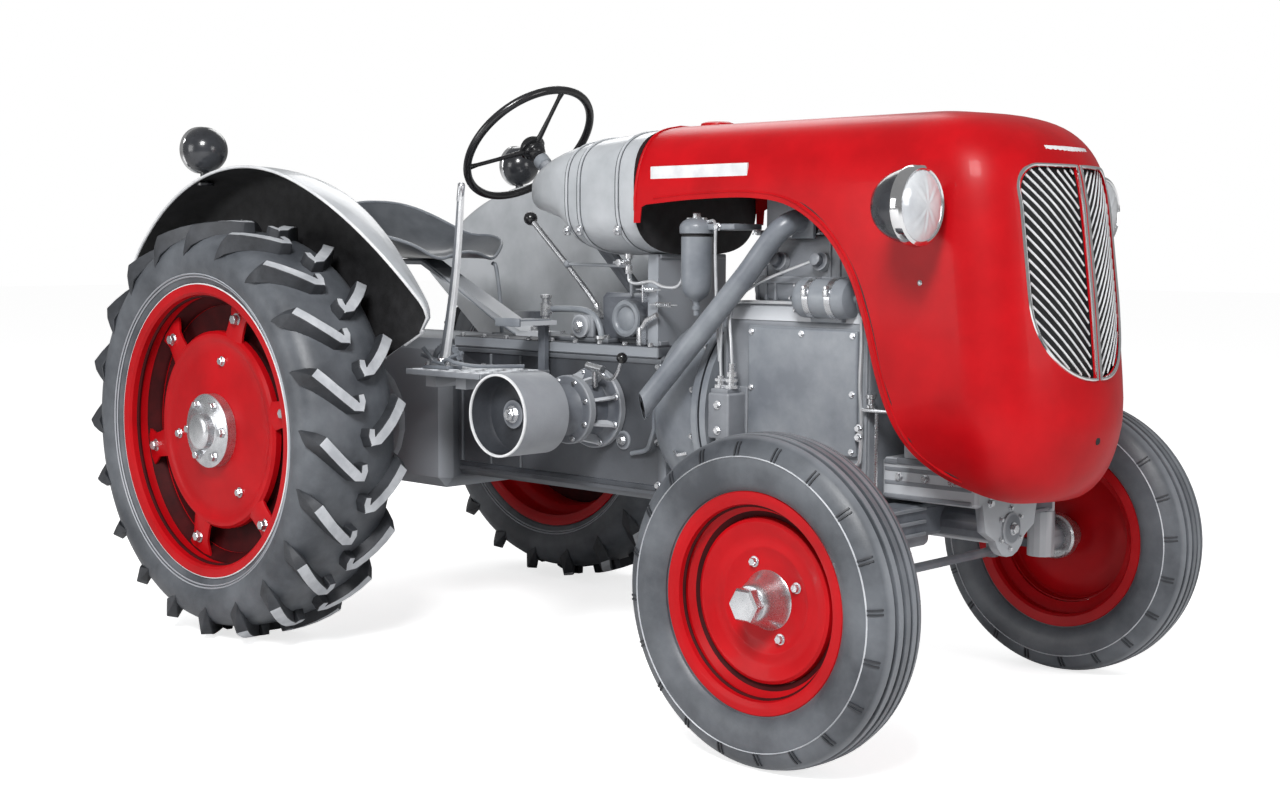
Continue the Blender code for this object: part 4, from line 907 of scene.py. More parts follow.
def headlamp(name, side):
    centre = Vector((1.985, 0.37 * side, 1.155))
    bowl = [
        (0, -0.058), (0.018, -0.056), (0.036, -0.05), (0.052, -0.038), (0.064, -0.022), (0.073, -0.002),
        (0.078, 0.018), (0.08, 0.036), (0.076, 0.037), (0, 0.03),
    ]
    place(f"{name}_lamp_bowl", lathe(bowl, centre, AHEAD, 56), LAMP_GREY, replaces=[f"{name}_headlamp"])
    ring = [
        (0.08, 0.03), (0.0835, 0.032), (0.0845, 0.04), (0.082, 0.052), (0.076, 0.056), (0.073, 0.054),
        (0.073, 0.04),
    ]
    place(f"{name}_lamp_ring", lathe(ring, centre, AHEAD, 64), CHROME)
    glass = [
        (0, 0.068), (0.02, 0.0672), (0.04, 0.0645), (0.058, 0.06), (0.07, 0.0545), (0.075, 0.051),
        (0, 0.046),
    ]
    bm = lathe(glass, centre, AHEAD, 64)
    for vertex in bm.verts:  # vertical flutes
        vertex.co.x += 0.0007 * sin((vertex.co.y - centre.y) * 500)
    place(f"{name}_lamp_glass", bm, LENS)
    inner = hood_y(1.985, 1.155)
    bm = pipe([
        (1.985, (inner - 0.001) * side, 1.155), (1.985, (inner + 0.012) * side, 1.155),
        (1.985, 0.312 * side, 1.155),
    ], [0.026, 0.018, 0.017], 24)
    place(f"{name}_lamp_stub", bm, DARK_GREY)


# ---- tank, filter and pipes ----
def superellipse(x, half_width, low, high, power=3.2, count=72, grow=0.0):
    middle, tall = (low + high) / 2, (high - low) / 2 + grow
    row = []
    for k in range(count):
        angle = 2 * pi * (k + 0.5) / count
        c, s = cos(angle), sin(angle)
        row.append(
            Vector((
                x, (half_width + grow) * copysign(abs(c) ** (2 / power), c),
                middle + tall * copysign(abs(s) ** (2 / power), s),
            ))
        )
    return row


TANK = (  # x, half width, low, high
    (0.6, 0.085, 1.186, 1.236), (0.612, 0.115, 1.17, 1.254), (0.64, 0.148, 1.158, 1.276),
    (0.69, 0.178, 1.148, 1.298), (0.74, 0.198, 1.136, 1.316), (0.78, 0.21, 1.122, 1.328),
    (0.815, 0.219, 1.095, 1.337), (0.845, 0.225, 1.066, 1.343), (0.88, 0.229, 1.052, 1.349),
    (0.94, 0.231, 1.05, 1.354), (1.02, 0.234, 1.05, 1.361), (1.099, 0.236, 1.05, 1.366),
)
STRAPS = ((0.852, 0.0045), (0.9, 0.0045), (1.04, 0.0045))


def tank_at(x):
    for before, after in zip(TANK, TANK[1:]):
        if x <= after[0]:
            share = (x - before[0]) / (after[0] - before[0])
            return [a + (b - a) * share for a, b in zip(before, after)]
    return list(TANK[-1])


def fuel_tank():
    bm = loft([superellipse(*station) for station in TANK])
    bmesh.ops.bevel(
        bm,
        geom=[
            e for e in bm.edges if abs(e.verts[0].co.x - 0.6) < 1e-5 and abs(e.verts[1].co.x - 0.6) < 1e-5
        ],
        offset=0.006, segments=2, affect="EDGES",
    )
    # the tank's flat front cap is painted black: painted shade under the hood
    place(
        "fuel_tank_shell", bm, PALE, replaces=["fuel_tank"], smooth=50, second=SHADE_AND_BELT_BLACK, where=lambda at,
        normal: normal.x > 0.9,
    )
    bm = bmesh.new()
    shade = bmesh.new()
    bolts = bmesh.new()
    for x, wide in STRAPS:
        rows = []
        for dx, grow in (
            (-wide, -0.002), (-wide * 0.8, 0.0022), (0, 0.0036), (wide * 0.8, 0.0022), (wide, -0.002),
        ):
            station = tank_at(x + dx)
            station[0] = x + dx
            rows.append(superellipse(*station, grow=grow))
        loft(rows, bm, caps=False)
        for dx in (-wide - 0.0018, wide + 0.0018):
            rows = []
            for edge in (-0.0016, 0.0016):
                station = tank_at(x + dx + edge)
                station[0] = x + dx + edge
                rows.append(superellipse(*station, grow=0.0004))
            loft(rows, shade, caps=False)
        for _, sign in SIDES:
            y = tank_at(x)[1] * sign * 0.985
            block((x - 0.008, x + 0.008), (y - 0.004, y + 0.006), (1.098, 1.122), 0.002, bolts)
            bolt(bolts, (x, y + 0.0045 * sign, 1.11), (0, sign, 0), 0.011, 0.006)
    place("fuel_tank_straps", bm, PALE)
    place("fuel_tank_strap_shadow", shade, DARK_GREY)
    place("fuel_tank_strap_bolts", bolts, STEEL)
    bm = block((0.905, 1.096), (-0.028, 0.028), (1.0503, 1.054), 0.001)
    for _, sign in SIDES:
        block((1.046, 1.09), (0.05 * sign, 0.125 * sign), (1.04, 1.052), 0.003, bm)
    place("fuel_tank_feet", bm, GREY)


def fuel_tap():
    y = -0.196
    bm = lathe([
        (0, 0), (0.011, 0), (0.011, 0.012), (0.007, 0.014), (0.007, 0.028), (0.01, 0.03), (0.01, 0.04),
        (0, 0.04),
    ], (1.046, y, 1.052), DOWN, 20)
    lathe([
        (0, 0), (0.0065, 0), (0.0065, 0.03), (0.009, 0.032), (0.009, 0.04), (0, 0.041),
    ], (1.046, y, 1.03), RIGHTWARD, 16, bm=bm)
    pipe([(1.028, y - 0.036, 1.03), (1.046, y - 0.038, 1.032), (1.064, y - 0.036, 1.03)], 0.0035, 10, bm)
    lathe(plug(0.009, 0, 0.01), (1.046, y, 1.012), DOWN, 6, bm=bm)
    place("fuel_tap", bm, STEEL)
    route = smooth_path([
        (1.046, y, 1.008), (1.048, y, 0.985), (1.075, y, 0.978), (1.125, y - 0.002, 0.984),
        (1.165, y - 0.002, 0.972), (1.205, y - 0.001, 0.972), (1.226, y - 0.001, 0.99), (1.23, y, 1.02),
        (1.236, y, 1.05), (1.244, y, 1.066),
    ], 8)
    bm = pipe(route, 0.0042, 12)
    place("fuel_pipe", bm, COPPER)


FILTER_X, FILTER_Y = 1.276, -0.2


def fuel_filter():
    profile = [
        (0, 0.905), (0.0075, 0.905), (0.0075, 0.918), (0.01, 0.919), (0.01, 0.927), (0.0075, 0.929),
        (0.0085, 0.938), (0.016, 0.944), (0.027, 0.951), (0.034, 0.962), (0.0375, 0.98), (0.038, 1.0),
        (0.038, 1.094), (0.0365, 1.096), (0.0365, 1.1), (0.0415, 1.102), (0.0425, 1.106), (0.0425, 1.118),
        (0.041, 1.123), (0.034, 1.131), (0.024, 1.137), (0.01, 1.139), (0, 1.139),
    ]
    bm = lathe(profile, (FILTER_X, FILTER_Y, 0), UP, 48)
    block((1.29, 1.3997), (-0.208, -0.104), (1.11, 1.125), 0.003, bm)
    for x in (FILTER_X - 0.024, FILTER_X + 0.024):
        lathe(plug(0.012, 1.104, 1.122), (x, FILTER_Y, 0), UP, 20, bm=bm)

    def seam(middle, normal):
        return 1.094 < middle.z < 1.103 and hypot(middle.x - FILTER_X, middle.y - FILTER_Y) < 0.0405

    place("fuel_filter_body", bm, HULL_GREY, replaces=["fuel_filter"], second=BACKING, where=seam)
    bm = bmesh.new()
    bolt(bm, (FILTER_X, FILTER_Y, 1.139), UP, 0.017, 0.01)
    for x in (FILTER_X - 0.024, FILTER_X + 0.024):
        bolt(bm, (x, FILTER_Y, 1.122), UP, 0.013, 0.016)
    bolt(bm, (FILTER_X, FILTER_Y, 0.9185), UP, 0.016, 0.008, washer=False)
    bolt(bm, (1.35, -0.208, 1.1175), RIGHTWARD, 0.013, 0.007)
    place("fuel_filter_nuts", bm, STEEL)
    route = smooth_path([
        (1.308, -0.2, 1.128), (1.33, -0.203, 1.132), (1.345, -0.212, 1.115), (1.352, -0.22, 1.06),
        (1.362, -0.226, 0.95), (1.371, -0.229, 0.86), (1.376, -0.229, 0.8),
    ], 8)
    place("filter_to_pump_pipe", pipe(route, 0.0038, 10), COPPER)


def exhaust():
    start, end = Vector((1.56, -0.1503, 1.13)), Vector((1.215, -0.335, 0.68))
    points = smooth_path([
        start, start + Vector((-0.004, -0.034, -0.002)), start + Vector((-0.03, -0.062, -0.03)),
        start.lerp(end, 0.3) + Vector((0, -0.022, 0.012)),
    ], 8)
    tail = [points[-1].lerp(end, k / 8) for k in range(1, 9)]
    path = points + tail
    outer = pipe(path, 0.026, 40)
    outer.faces.ensure_lookup_table()
    heading = (path[-1] - path[-2]).normalized()
    cut = Vector((-0.56, -0.79, -0.24)).normalized()

    def trim(bm, count, back):
        bm.verts.ensure_lookup_table()
        for vertex in bm.verts[-count:]:
            vertex.co += heading * ((end - vertex.co).dot(cut) / heading.dot(cut) - back)

    trim(outer, 40, 0.012)
    bmesh.ops.delete(outer, geom=[outer.faces[:][-1]], context="FACES_ONLY")
    inner = pipe(path[-9:], 0.0232, 40)
    trim(inner, 40, 0.012)
    outer.verts.ensure_lookup_table()
    rim_out = [v.co.copy() for v in outer.verts[-40:]]
    inner.verts.ensure_lookup_table()
    rim_in = [v.co.copy() for v in inner.verts[-40:]]
    inner.faces.ensure_lookup_table()
    bmesh.ops.delete(inner, geom=[inner.faces[:][-1]], context="FACES_ONLY")
    lip = bmesh.new()
    near, far = [lip.verts.new(p) for p in rim_out], [lip.verts.new(p) for p in rim_in]
    for k in range(40):
        lip.faces.new((near[k], near[(k + 1) % 40], far[(k + 1) % 40], far[k]))
    join(outer, lip)
    block((1.52, 1.6), (-0.1503, -0.163), (1.09, 1.17), 0.004, outer)
    place("exhaust_tube", outer, HULL_GREY, replaces=["exhaust_pipe"])
    place("exhaust_bore", inner, BACKING)
    bm = bmesh.new()
    for x, z in ((1.53, 1.1), (1.59, 1.16)):
        bolt(bm, (x, -0.163, z), RIGHTWARD, 0.014, 0.01)
    place("exhaust_flange_nuts", bm, STEEL)


# ---- engine ----
BELL_Z = 0.67


def clutch_housing():
    x0, x1 = 1.1203, 1.355
    profile = [
        (0, x0), (0.16, x0), (0.176, x0 + 0.003), (0.196, x0 + 0.012), (0.213, x0 + 0.028),
        (0.224, x0 + 0.048), (0.231, x0 + 0.075), (0.2345, x0 + 0.105), (0.2365, x0 + 0.14),
        (0.2375, x1 - 0.062), (0.2395, x1 - 0.052), (0.244, x1 - 0.0485), (0.254, x1 - 0.048),
        (0.2565, x1 - 0.045), (0.2565, x1 - 0.029), (0.2535, x1 - 0.0265), (0.2465, x1 - 0.026),
        (0.2465, x1 - 0.021), (0.2535, x1 - 0.0205), (0.2565, x1 - 0.018), (0.2565, x1), (0, x1),
    ]
    bm = lathe(profile, (0, 0, BELL_Z), AHEAD, 96)
    place(
        "bell_housing", bm, HULL_GREY, replaces=["clutch_housing"], second=DARK_GREY, where=lambda middle,
        normal: x1 - 0.0275 < middle.x < x1 - 0.0195,
    )
    bm = bmesh.new()
    angles = [12 + 360 / 14 * k for k in range(14)]
    bolt_ring(bm, (x1 - 0.0485, 0, BELL_Z), BACK, 0.2495, angles, 0.012, 0.008)
    place("bell_housing_bolts", bm, STEEL)
    # pressed rim where the gearbox meets the bell, running out low beside the pulley
    route = []
    for k in range(41):
        angle = radians(100 + 95 * k / 40)
        x = x0 + 0.012 + 0.02 * sin(pi * k / 40)
        route.append(Vector((x, 0.199 * cos(angle), BELL_Z + 0.199 * sin(angle))))
    tail = smooth_path([route[-1], (1.118, -0.188, 0.592), (1.08, -0.165, 0.56), (1.02, -0.156, 0.545)], 8)
    place("bell_housing_rib", pipe(route + tail[1:], 0.006, 10), HULL_GREY)
    bm = bmesh.new()
    for degrees in (205, 228):
        angle = radians(degrees)
        out = Vector((0, cos(angle), sin(angle)))
        spot = Vector((1.24, 0, BELL_Z)) + out * 0.236
        pipe([spot - Vector((0.02, 0, 0)), spot + out * 0.012, spot + Vector((0.02, 0, 0))], 0.004, 8, bm)
    place("bell_housing_clips", bm, STEEL)


def engine():
    bm = block((1.3553, 1.78), (-0.19, 0.19), (0.436, 0.902), 0.012)
    block((1.375, 1.74), (-0.13, 0.13), (0.36, 0.44), 0.018, bm)
    block((1.372, 1.762), (-0.128, 0.128), (0.405, 0.436), 0.006, bm)
    for x in (1.362, 1.772):
        block((x - 0.006, x + 0.006), (-0.1925, 0.1925), (0.47, 0.88), 0.003, bm)
    place("engine_crankcase", bm, GREY, replaces=["engine_block"])
    bm = bmesh.new()
    nuts = bmesh.new()
    for _, sign in SIDES:
        block((1.44, 1.757), (0.188 * sign, 0.202 * sign), (0.6, 0.885), 0.005, bm)
        block((1.437, 1.76), (0.188 * sign, 0.1935 * sign), (0.597, 0.888), 0.002, bm)
        for x, z in (
            (1.452, 0.873), (1.6, 0.873), (1.745, 0.873), (1.745, 0.742), (1.745, 0.612), (1.6, 0.612),
            (1.452, 0.612), (1.452, 0.742),
        ):
            bolt(nuts, (x, 0.202 * sign, z), (0, sign, 0), 0.01, 0.004)
        for k in range(9):
            bolt(nuts, (1.39 + 0.044 * k, 0.128 * sign, 0.42), (0, sign, 0), 0.01, 0.005)
    place("engine_covers", bm, HULL_GREY)
    place("engine_cover_screws", nuts, STEEL)
    # rounded upper ledge, its bead and the block's stiffeners
    rows = []
    for x, tall, wide in (
        (1.362, 0.018, 0.17), (1.368, 0.03, 0.18), (1.384, 0.04, 0.186), (1.41, 0.044, 0.188),
        (1.765, 0.044, 0.188), (1.775, 0.036, 0.18),
    ):
        rows.append([
            Vector((x, y, z))
            for y, z in (
                (-wide, 0.9), (-wide, 0.9 + tall * 0.6), (-wide + 0.006, 0.9 + tall * 0.85),
                (-wide + 0.018, 0.9 + tall), (wide - 0.018, 0.9 + tall), (wide - 0.006, 0.9 + tall * 0.85),
                (wide, 0.9 + tall * 0.6), (wide, 0.9),
            )
        ])
    place("engine_top_deck", loft(rows), GREY, smooth=60)
    bm = bmesh.new()
    for _, sign in SIDES:
        pipe(
            smooth_path([
                (1.368, 0.186 * sign, 0.906), (1.376, 0.186 * sign, 0.93), (1.4, 0.1875 * sign, 0.94),
                (1.5, 0.1878 * sign, 0.942), (1.62, 0.1878 * sign, 0.942), (1.77, 0.1878 * sign, 0.942),
            ], 6),
            0.0042, 8, bm,
        )
        pipe(
            smooth_path([
                (1.766, 0.2 * sign, 0.925), (1.77, 0.203 * sign, 0.86), (1.768, 0.204 * sign, 0.76),
                (1.773, 0.204 * sign, 0.69), (1.771, 0.204 * sign, 0.605), (1.762, 0.204 * sign, 0.585),
                (1.735, 0.203 * sign, 0.583),
            ], 6),
            0.0042, 8, bm,
        )
    place("engine_edge_pipes", bm, COPPER)
    bm = bmesh.new()
    for _, sign in SIDES:
        lathe([
            (0, 0), (0.012, 0), (0.012, 0.006), (0.008, 0.008), (0.008, 0.02), (0.012, 0.022),
            (0.012, 0.03), (0, 0.032),
        ], (1.795, 0.198 * sign, 0.715), UP, 20, bm=bm)
        block((1.77, 1.86), (0.19 * sign, 0.206 * sign), (0.706, 0.714), 0.002, bm)
        pipe([(1.812, 0.2 * sign, 0.708), (1.812, 0.2 * sign, 0.5)], 0.004, 8, bm)
        bolt(bm, (1.768, 0.206 * sign, 0.668), (0, sign, 0), 0.013, 0.007)
        bolt(bm, (1.768, 0.206 * sign, 0.648), (0, sign, 0), 0.013, 0.007)
    place("engine_front_rods", bm, STEEL)


def cylinder_head():
    bm = block((1.4, 1.74), (-0.15, 0.15), (0.938, 1.1), 0.03)
    block((1.392, 1.748), (-0.156, 0.156), (0.985, 1.003), 0.005, bm)
    block((1.408, 1.732), (-0.12, 0.12), (1.075, 1.22), 0.035, bm)
    block((1.4, 1.74), (-0.132, 0.132), (1.098, 1.11), 0.004, bm)
    for _, sign in SIDES:
        for x in (1.425, 1.452, 1.48, 1.64, 1.667, 1.694):
            block((x - 0.004, x + 0.004), (0.14 * sign, 0.1545 * sign), (0.945, 1.085), 0.003, bm)
        for x in (1.5, 1.62):
            lathe([
                (0, 0), (0.022, 0), (0.022, 0.016), (0.014, 0.02), (0.014, 0.036), (0.008, 0.04), (0, 0.04),
            ], (x, 0.15 * sign, 1.035), (0, sign, 0.25), 24, bm=bm)
    place("rocker_cover_and_head", bm, GREY, replaces=["cylinder_head"])
    bm = bmesh.new()
    for _, sign in SIDES:
        for k in range(6):
            bolt(bm, (1.415 + 0.062 * k, 0.141 * sign, 1.1005), UP, 0.016, 0.01)
    for x in (1.48, 1.66):
        bolt(bm, (x, 0, 1.214), UP, 0.02, 0.006)
    place("cylinder_head_nuts", bm, STEEL)


def dynamo():
    centre = Vector((1.59, -0.1985, 0.955))
    profile = [
        (0, 0.0), (0.02, 0.0), (0.03, 0.002), (0.04, 0.008), (0.0445, 0.016), (0.045, 0.024),
        (0.045, 0.142), (0.042, 0.152), (0.03, 0.159), (0.012, 0.16), (0, 0.16),
    ]
    bm = lathe(profile, centre, AHEAD, 56)
    block((1.625, 1.715), (-0.165, -0.204), (0.9003, 0.935), 0.004, bm)
    place("dynamo_body", bm, HULL_GREY, replaces=["dynamo"])
    bm = bmesh.new()
    for at in (0.05, 0.112):
        lathe([
            (0.0445, at - 0.008), (0.0468, at - 0.008), (0.0468, at + 0.008), (0.0445, at + 0.008),
        ], centre, AHEAD, 56, bm=bm)
        block((1.59 + at - 0.007, 1.59 + at + 0.007), (-0.238, -0.252), (0.96, 0.976), 0.002, bm)
        bolt(bm, (1.59 + at, -0.245, 0.976), UP, 0.011, 0.007)
    bolt_ring(bm, centre + Vector((0.001, 0, 0)), BACK, 0.033, range(0, 360, 60), 0.007, 0.003)
    place("dynamo_straps", bm, STEEL)
    bm = pipe([(1.745, -0.1985, 0.955), (1.805, -0.1985, 0.955)], 0.01, 20)
    lathe([
        (0.012, 0.0), (0.044, 0.0), (0.047, 0.003), (0.036, 0.01), (0.047, 0.017), (0.044, 0.02),
        (0.012, 0.02),
    ], (1.782, -0.1985, 0.955), AHEAD, 48, bm=bm)
    lathe([
        (0.012, 0.0), (0.084, 0.0), (0.088, 0.003), (0.074, 0.011), (0.088, 0.019), (0.084, 0.022),
        (0.012, 0.022),
    ], (1.782, 0, 0.79), AHEAD, 64, bm=bm)
    pipe([(1.77, 0, 0.79), (1.812, 0, 0.79)], 0.014, 24, bm)
    place("fan_pulleys", bm, DARK_GREY)
    small, large = Vector((1.793, -0.1985, 0.955)), Vector((1.793, 0, 0.79))
    gap = large - small
    lean = atan2(gap.z, gap.y)
    spread = asin((0.08 - 0.04) / gap.length)
    loop = []
    for k in range(25):
        angle = lean + pi / 2 + spread + (pi - 2 * spread) * k / 24
        loop.append(small + Vector((0, cos(angle), sin(angle))) * 0.041)
    for k in range(25):
        angle = lean - pi / 2 - spread + (pi + 2 * spread) * k / 24
        loop.append(large + Vector((0, cos(angle), sin(angle))) * 0.081)
    place("fan_belt", ring_tube(loop, 0.005, 8), SHADE_AND_BELT_BLACK)


def injection_pump():
    bm = block((1.368, 1.432), (-0.1903, -0.262), (0.62, 0.728), 0.006)
    block((1.362, 1.438), (-0.1903, -0.2), (0.612, 0.742), 0.003, bm)
    lathe([
        (0, 0), (0.02, 0), (0.024, 0.004), (0.024, 0.03), (0, 0.03),
    ], (1.4, -0.232, 0.592), UP, 32, bm=bm)
    block((1.374, 1.426), (-0.21, -0.258), (0.726, 0.738), 0.003, bm)
    place("injection_pump_body", bm, GREY, replaces=["injection_pump"])
    bm = bmesh.new()
    for x, top_ in ((1.384, 0.772), (1.418, 0.798)):
        at = 0.738
        for radius, tall, steps in (
            (0.0155, 0.008, 6), (0.011, 0.008, 20), (0.015, 0.007, 6), (0.01, 0.006, 20), (0.012, 0.01, 6),
            (0.009, 0.02, 20), (0.012, 0.008, 6),
        ):
            if at + tall > top_ + 0.001:
                break
            lathe(plug(radius, at, at + tall), (x, -0.232, 0), UP, steps, bm=bm)
            at += tall
    for z in (0.64, 0.7):
        bolt(bm, (1.4, -0.262, z), RIGHTWARD, 0.014, 0.006)
    place("injection_pump_unions", bm, STEEL)
    bm = pipe(
        smooth_path([
            (1.384, -0.232, 0.765), (1.382, -0.232, 0.83), (1.384, -0.228, 0.9), (1.392, -0.205, 0.965),
            (1.44, -0.185, 1.01), (1.5, -0.172, 1.043), (1.5, -0.155, 1.04),
        ], 8),
        0.0036, 10,
    )
    pipe(
        smooth_path([
            (1.418, -0.232, 0.792), (1.414, -0.232, 0.85), (1.405, -0.226, 0.91), (1.41, -0.205, 0.95),
            (1.47, -0.19, 0.99), (1.6, -0.182, 1.035), (1.62, -0.165, 1.043), (1.62, -0.155, 1.04),
        ], 8),
        0.0036, 10, bm,
    )
    place("injector_pipes", bm, COPPER)


# ---- gearbox, pulley and axle fittings ----
PTO_Z = 0.56
PULLEY_AT = Vector((0.89, 0, 0.655))
AXLE_PIVOT_Z = 0.45


def gearbox_details():
    nuts = bmesh.new()
    bm = bmesh.new()
    for _, sign in SIDES:
        for k in range(9):
            bolt(nuts, (0.36 + 0.09 * k, 0.1505 * sign, 0.8205), UP, 0.012, 0.006)
        block((0.21, 1.118), (0.148 * sign, 0.1545 * sign), (0.776, 0.789), 0.003, bm)
        block((0.345, 1.1), (0.148 * sign, 0.153 * sign), (0.455, 0.47), 0.003, bm)
        for x in (0.36, 0.48, 0.6):
            block((x - 0.004, x + 0.004), (0.148 * sign, 0.156 * sign), (0.47, 0.775), 0.003, bm)
        for z in (0.47, 0.58, 0.7, 0.77):
            bolt(nuts, (1.108, 0.15 * sign, z), (0, sign, 0), 0.014, 0.007)
        lathe([
            (0, 0), (0.024, 0), (0.024, 0.005), (0.016, 0.008), (0, 0.008),
        ], (0.987, 0.149 * sign, 0.576), (0, sign, 0), 28, bm=bm)
        bolt(nuts, (0.987, 0.157 * sign, 0.576), (0, sign, 0), 0.018, 0.008)
        angles = [22.5 + 45 * k for k in range(8)]
        bolt_ring(nuts, (0, 0.2205 * sign, REAR_Z), (0, sign, 0), 0.148, angles, 0.016, 0.008)
    # rear cover round the power take-off
    lathe([
        (0.022, 0), (0.062, 0), (0.066, 0.003), (0.066, 0.014), (0.04, 0.016), (0.034, 0.022),
        (0.022, 0.022),
    ], (-0.219, 0, PTO_Z), BACK, 48, bm=bm)
    bolt_ring(nuts, (-0.233, 0, PTO_Z), BACK, 0.052, range(30, 360, 60), 0.011, 0.006)
    block((-0.2215, -0.215), (-0.135, 0.135), (0.43, 0.76), 0.003, bm)
    for y in (-0.12, 0.12):
        for z in (0.45, 0.545, 0.64, 0.74):
            bolt(nuts, (-0.2215, y, z), BACK, 0.013, 0.007)
    # lid with its pipe, fitting and round window
    block((0.64, 0.905), (-0.128, 0.112), (0.8195, 0.832), 0.004, bm)
    lathe([
        (0, 0), (0.056, 0), (0.056, 0.012), (0.046, 0.016), (0, 0.016),
    ], (0.77, -0.03, 0.832), UP, 40, bm=bm)
    lathe([
        (0, 0), (0.042, 0), (0.042, 0.006), (0.028, 0.024), (0.018, 0.034), (0, 0.034),
    ], (0.77, -0.03, 0.846), UP, 40, bm=bm)
    for x, y in ((0.655, -0.115), (0.89, -0.115), (0.655, 0.1), (0.89, 0.1), (0.77, -0.118), (0.77, 0.1)):
        bolt(nuts, (x, y, 0.832), UP, 0.014, 0.007)
    place("gearbox_ribs", bm, DARK_GREY)
    route = smooth_path([
        (0.672, -0.118, 0.903), (0.76, -0.118, 0.905), (0.815, -0.118, 0.902), (0.85, -0.118, 0.885),
        (0.868, -0.118, 0.857), (0.875, -0.118, 0.828),
    ], 8)
    bm = pipe(route, 0.0085, 14)
    place("breather_pipe", bm, HULL_GREY)
    bm = lathe([
        (0, 0.832), (0.014, 0.832), (0.014, 0.842), (0.01, 0.844), (0.01, 0.882), (0.015, 0.885),
        (0.015, 0.918), (0.011, 0.921), (0.011, 0.93), (0.016, 0.932), (0.016, 0.94), (0, 0.942),
    ], (0.663, -0.118, 0), UP, 24)
    lathe(plug(0.012, 0, 0.014), (0.676, -0.118, 0.903), AHEAD, 6, bm=bm)
    lathe([
        (0.009, -0.002), (0.02, -0.002), (0.02, 0.006), (0.009, 0.006),
    ], (0.875, -0.118, 0.832), UP, 24, bm=bm)
    place("breather_fitting", bm, STEEL)
    bm = lathe([
        (0, 0), (0.03, 0), (0.03, 0.01), (0.022, 0.014), (0, 0.014),
    ], (0.812, -0.128, 0.862), RIGHTWARD, 32)
    block((0.775, 0.85), (-0.128, -0.112), (0.832, 0.892), 0.006, bm)
    place("detent_cover", bm, GREY)
    bm = bmesh.new()
    bolt(bm, (0.812, -0.142, 0.862), RIGHTWARD, 0.022, 0.008)
    join(nuts, bm)
    place("gearbox_bolts", nuts, STEEL)
    bm = lathe([
        (0.03, 0), (0.046, 0), (0.049, 0.004), (0.046, 0.01), (0.038, 0.012), (0.034, 0.01), (0.03, 0.004),
    ], (0.965, -0.116, 0.885), RIGHTWARD, 56)
    place("steering_box_ring", bm, HULL_GREY)
    bm = lathe([
        (0, 0.002), (0.034, 0.002), (0.03, 0.005), (0.015, 0.008), (0, 0.009),
    ], (0.965, -0.116, 0.885), RIGHTWARD, 48)
    place("steering_box_window", bm, HULL_GREY)
    for index, (x, z, length) in enumerate(((1.04, 0.962, 0.044), (1.088, 0.925, 0.052))):
        points = []
        for k in range(8 * 9 + 1):
            angle = 2 * pi * k / 9
            points.append((x + length * k / 72, -0.142 + 0.0058 * cos(angle), z + 0.0058 * sin(angle)))
        bm = pipe(points, 0.0015, 6)
        pipe([(x - 0.02, -0.142, z), (x, -0.142, z)], 0.002, 6, bm)
        pipe([(x + length, -0.142, z), (x + length + 0.02, -0.142, z)], 0.002, 6, bm)
        place(f"return_spring_{index + 1}", bm, COPPER)
    bm = block((1.035, 1.05), (-0.158, -0.134), (0.82, 0.868), 0.003)
    pipe([(1.042, -0.147, 0.86), (1.062, -0.147, 0.885), (1.098, -0.147, 0.9)], 0.007, 10, bm)
    block((1.046, 1.051), (-0.15, -0.128), (0.93, 0.975), 0.001, bm)
    place("linkage_bracket", bm, STEEL)
    bm = pipe([(0.952, -0.1, 1.02), (0.735, -0.1, 1.023)], 0.0045, 10)
    lathe([
        (0, -0.011), (0.007, -0.0085), (0.011, 0), (0.007, 0.0085), (0, 0.011),
    ], (0.727, -0.1, 1.023), AHEAD, 24, bm=bm)
    pipe([(0.952, -0.1, 1.02), (0.962, -0.1, 0.98), (0.962, -0.098, 0.945)], 0.0045, 10, bm)
    place("throttle_rod", bm, DARK_GREY)


def belt_pulley():
    centre = PULLEY_AT
    profile = [
        (0.1005, 0.35), (0.103, 0.3525), (0.103, 0.4975), (0.1015, 0.5), (0.0985, 0.5), (0.0975, 0.497),
        (0.097, 0.445), (0.092, 0.436), (0.04, 0.436), (0.036, 0.438), (0.035, 0.446), (0.024, 0.447),
        (0, 0.447),
    ]
    bm = lathe(profile, centre, RIGHTWARD, 96, closed=False)
    back = [
        (0.1005, 0.35), (0.0975, 0.352), (0.097, 0.418), (0.092, 0.426), (0.04, 0.426), (0.036, 0.424),
        (0.036, 0.3525), (0.0245, 0.3525),
    ]
    lathe(back, centre, RIGHTWARD, 96, closed=False, bm=bm)

    def inside_drum(middle, normal):
        reach = hypot(middle.x - PULLEY_AT.x, middle.z - PULLEY_AT.z)
        return 0.036 < reach < 0.0974 and -middle.y > 0.42

    place("belt_pulley_drum", bm, GREY, "belt_pulley", ["belt_pulley"], 35, SHADOW_GREY, inside_drum)
    # a pale ring on the drum's lip: painted highlight
    bm = lathe([
        (0.0968, 0.4985), (0.0978, 0.5003), (0.1022, 0.5003), (0.1034, 0.4988), (0.1034, 0.4955),
        (0.0968, 0.4955),
    ], centre, (0, -1, 0), 96)
    place("belt_pulley_lip", bm, PLATE, "belt_pulley")
    bm = bmesh.new()
    bolt(bm, centre + Vector((0, -0.447, 0)), RIGHTWARD, 0.03, 0.014)
    lathe(
        [(0, 0), (0.008, 0), (0.007, 0.01), (0, 0.01)], centre + Vector((0, -0.46, 0)), RIGHTWARD, 20,
        bm=bm,
    )
    place("belt_pulley_nut", bm, STEEL, "belt_pulley")


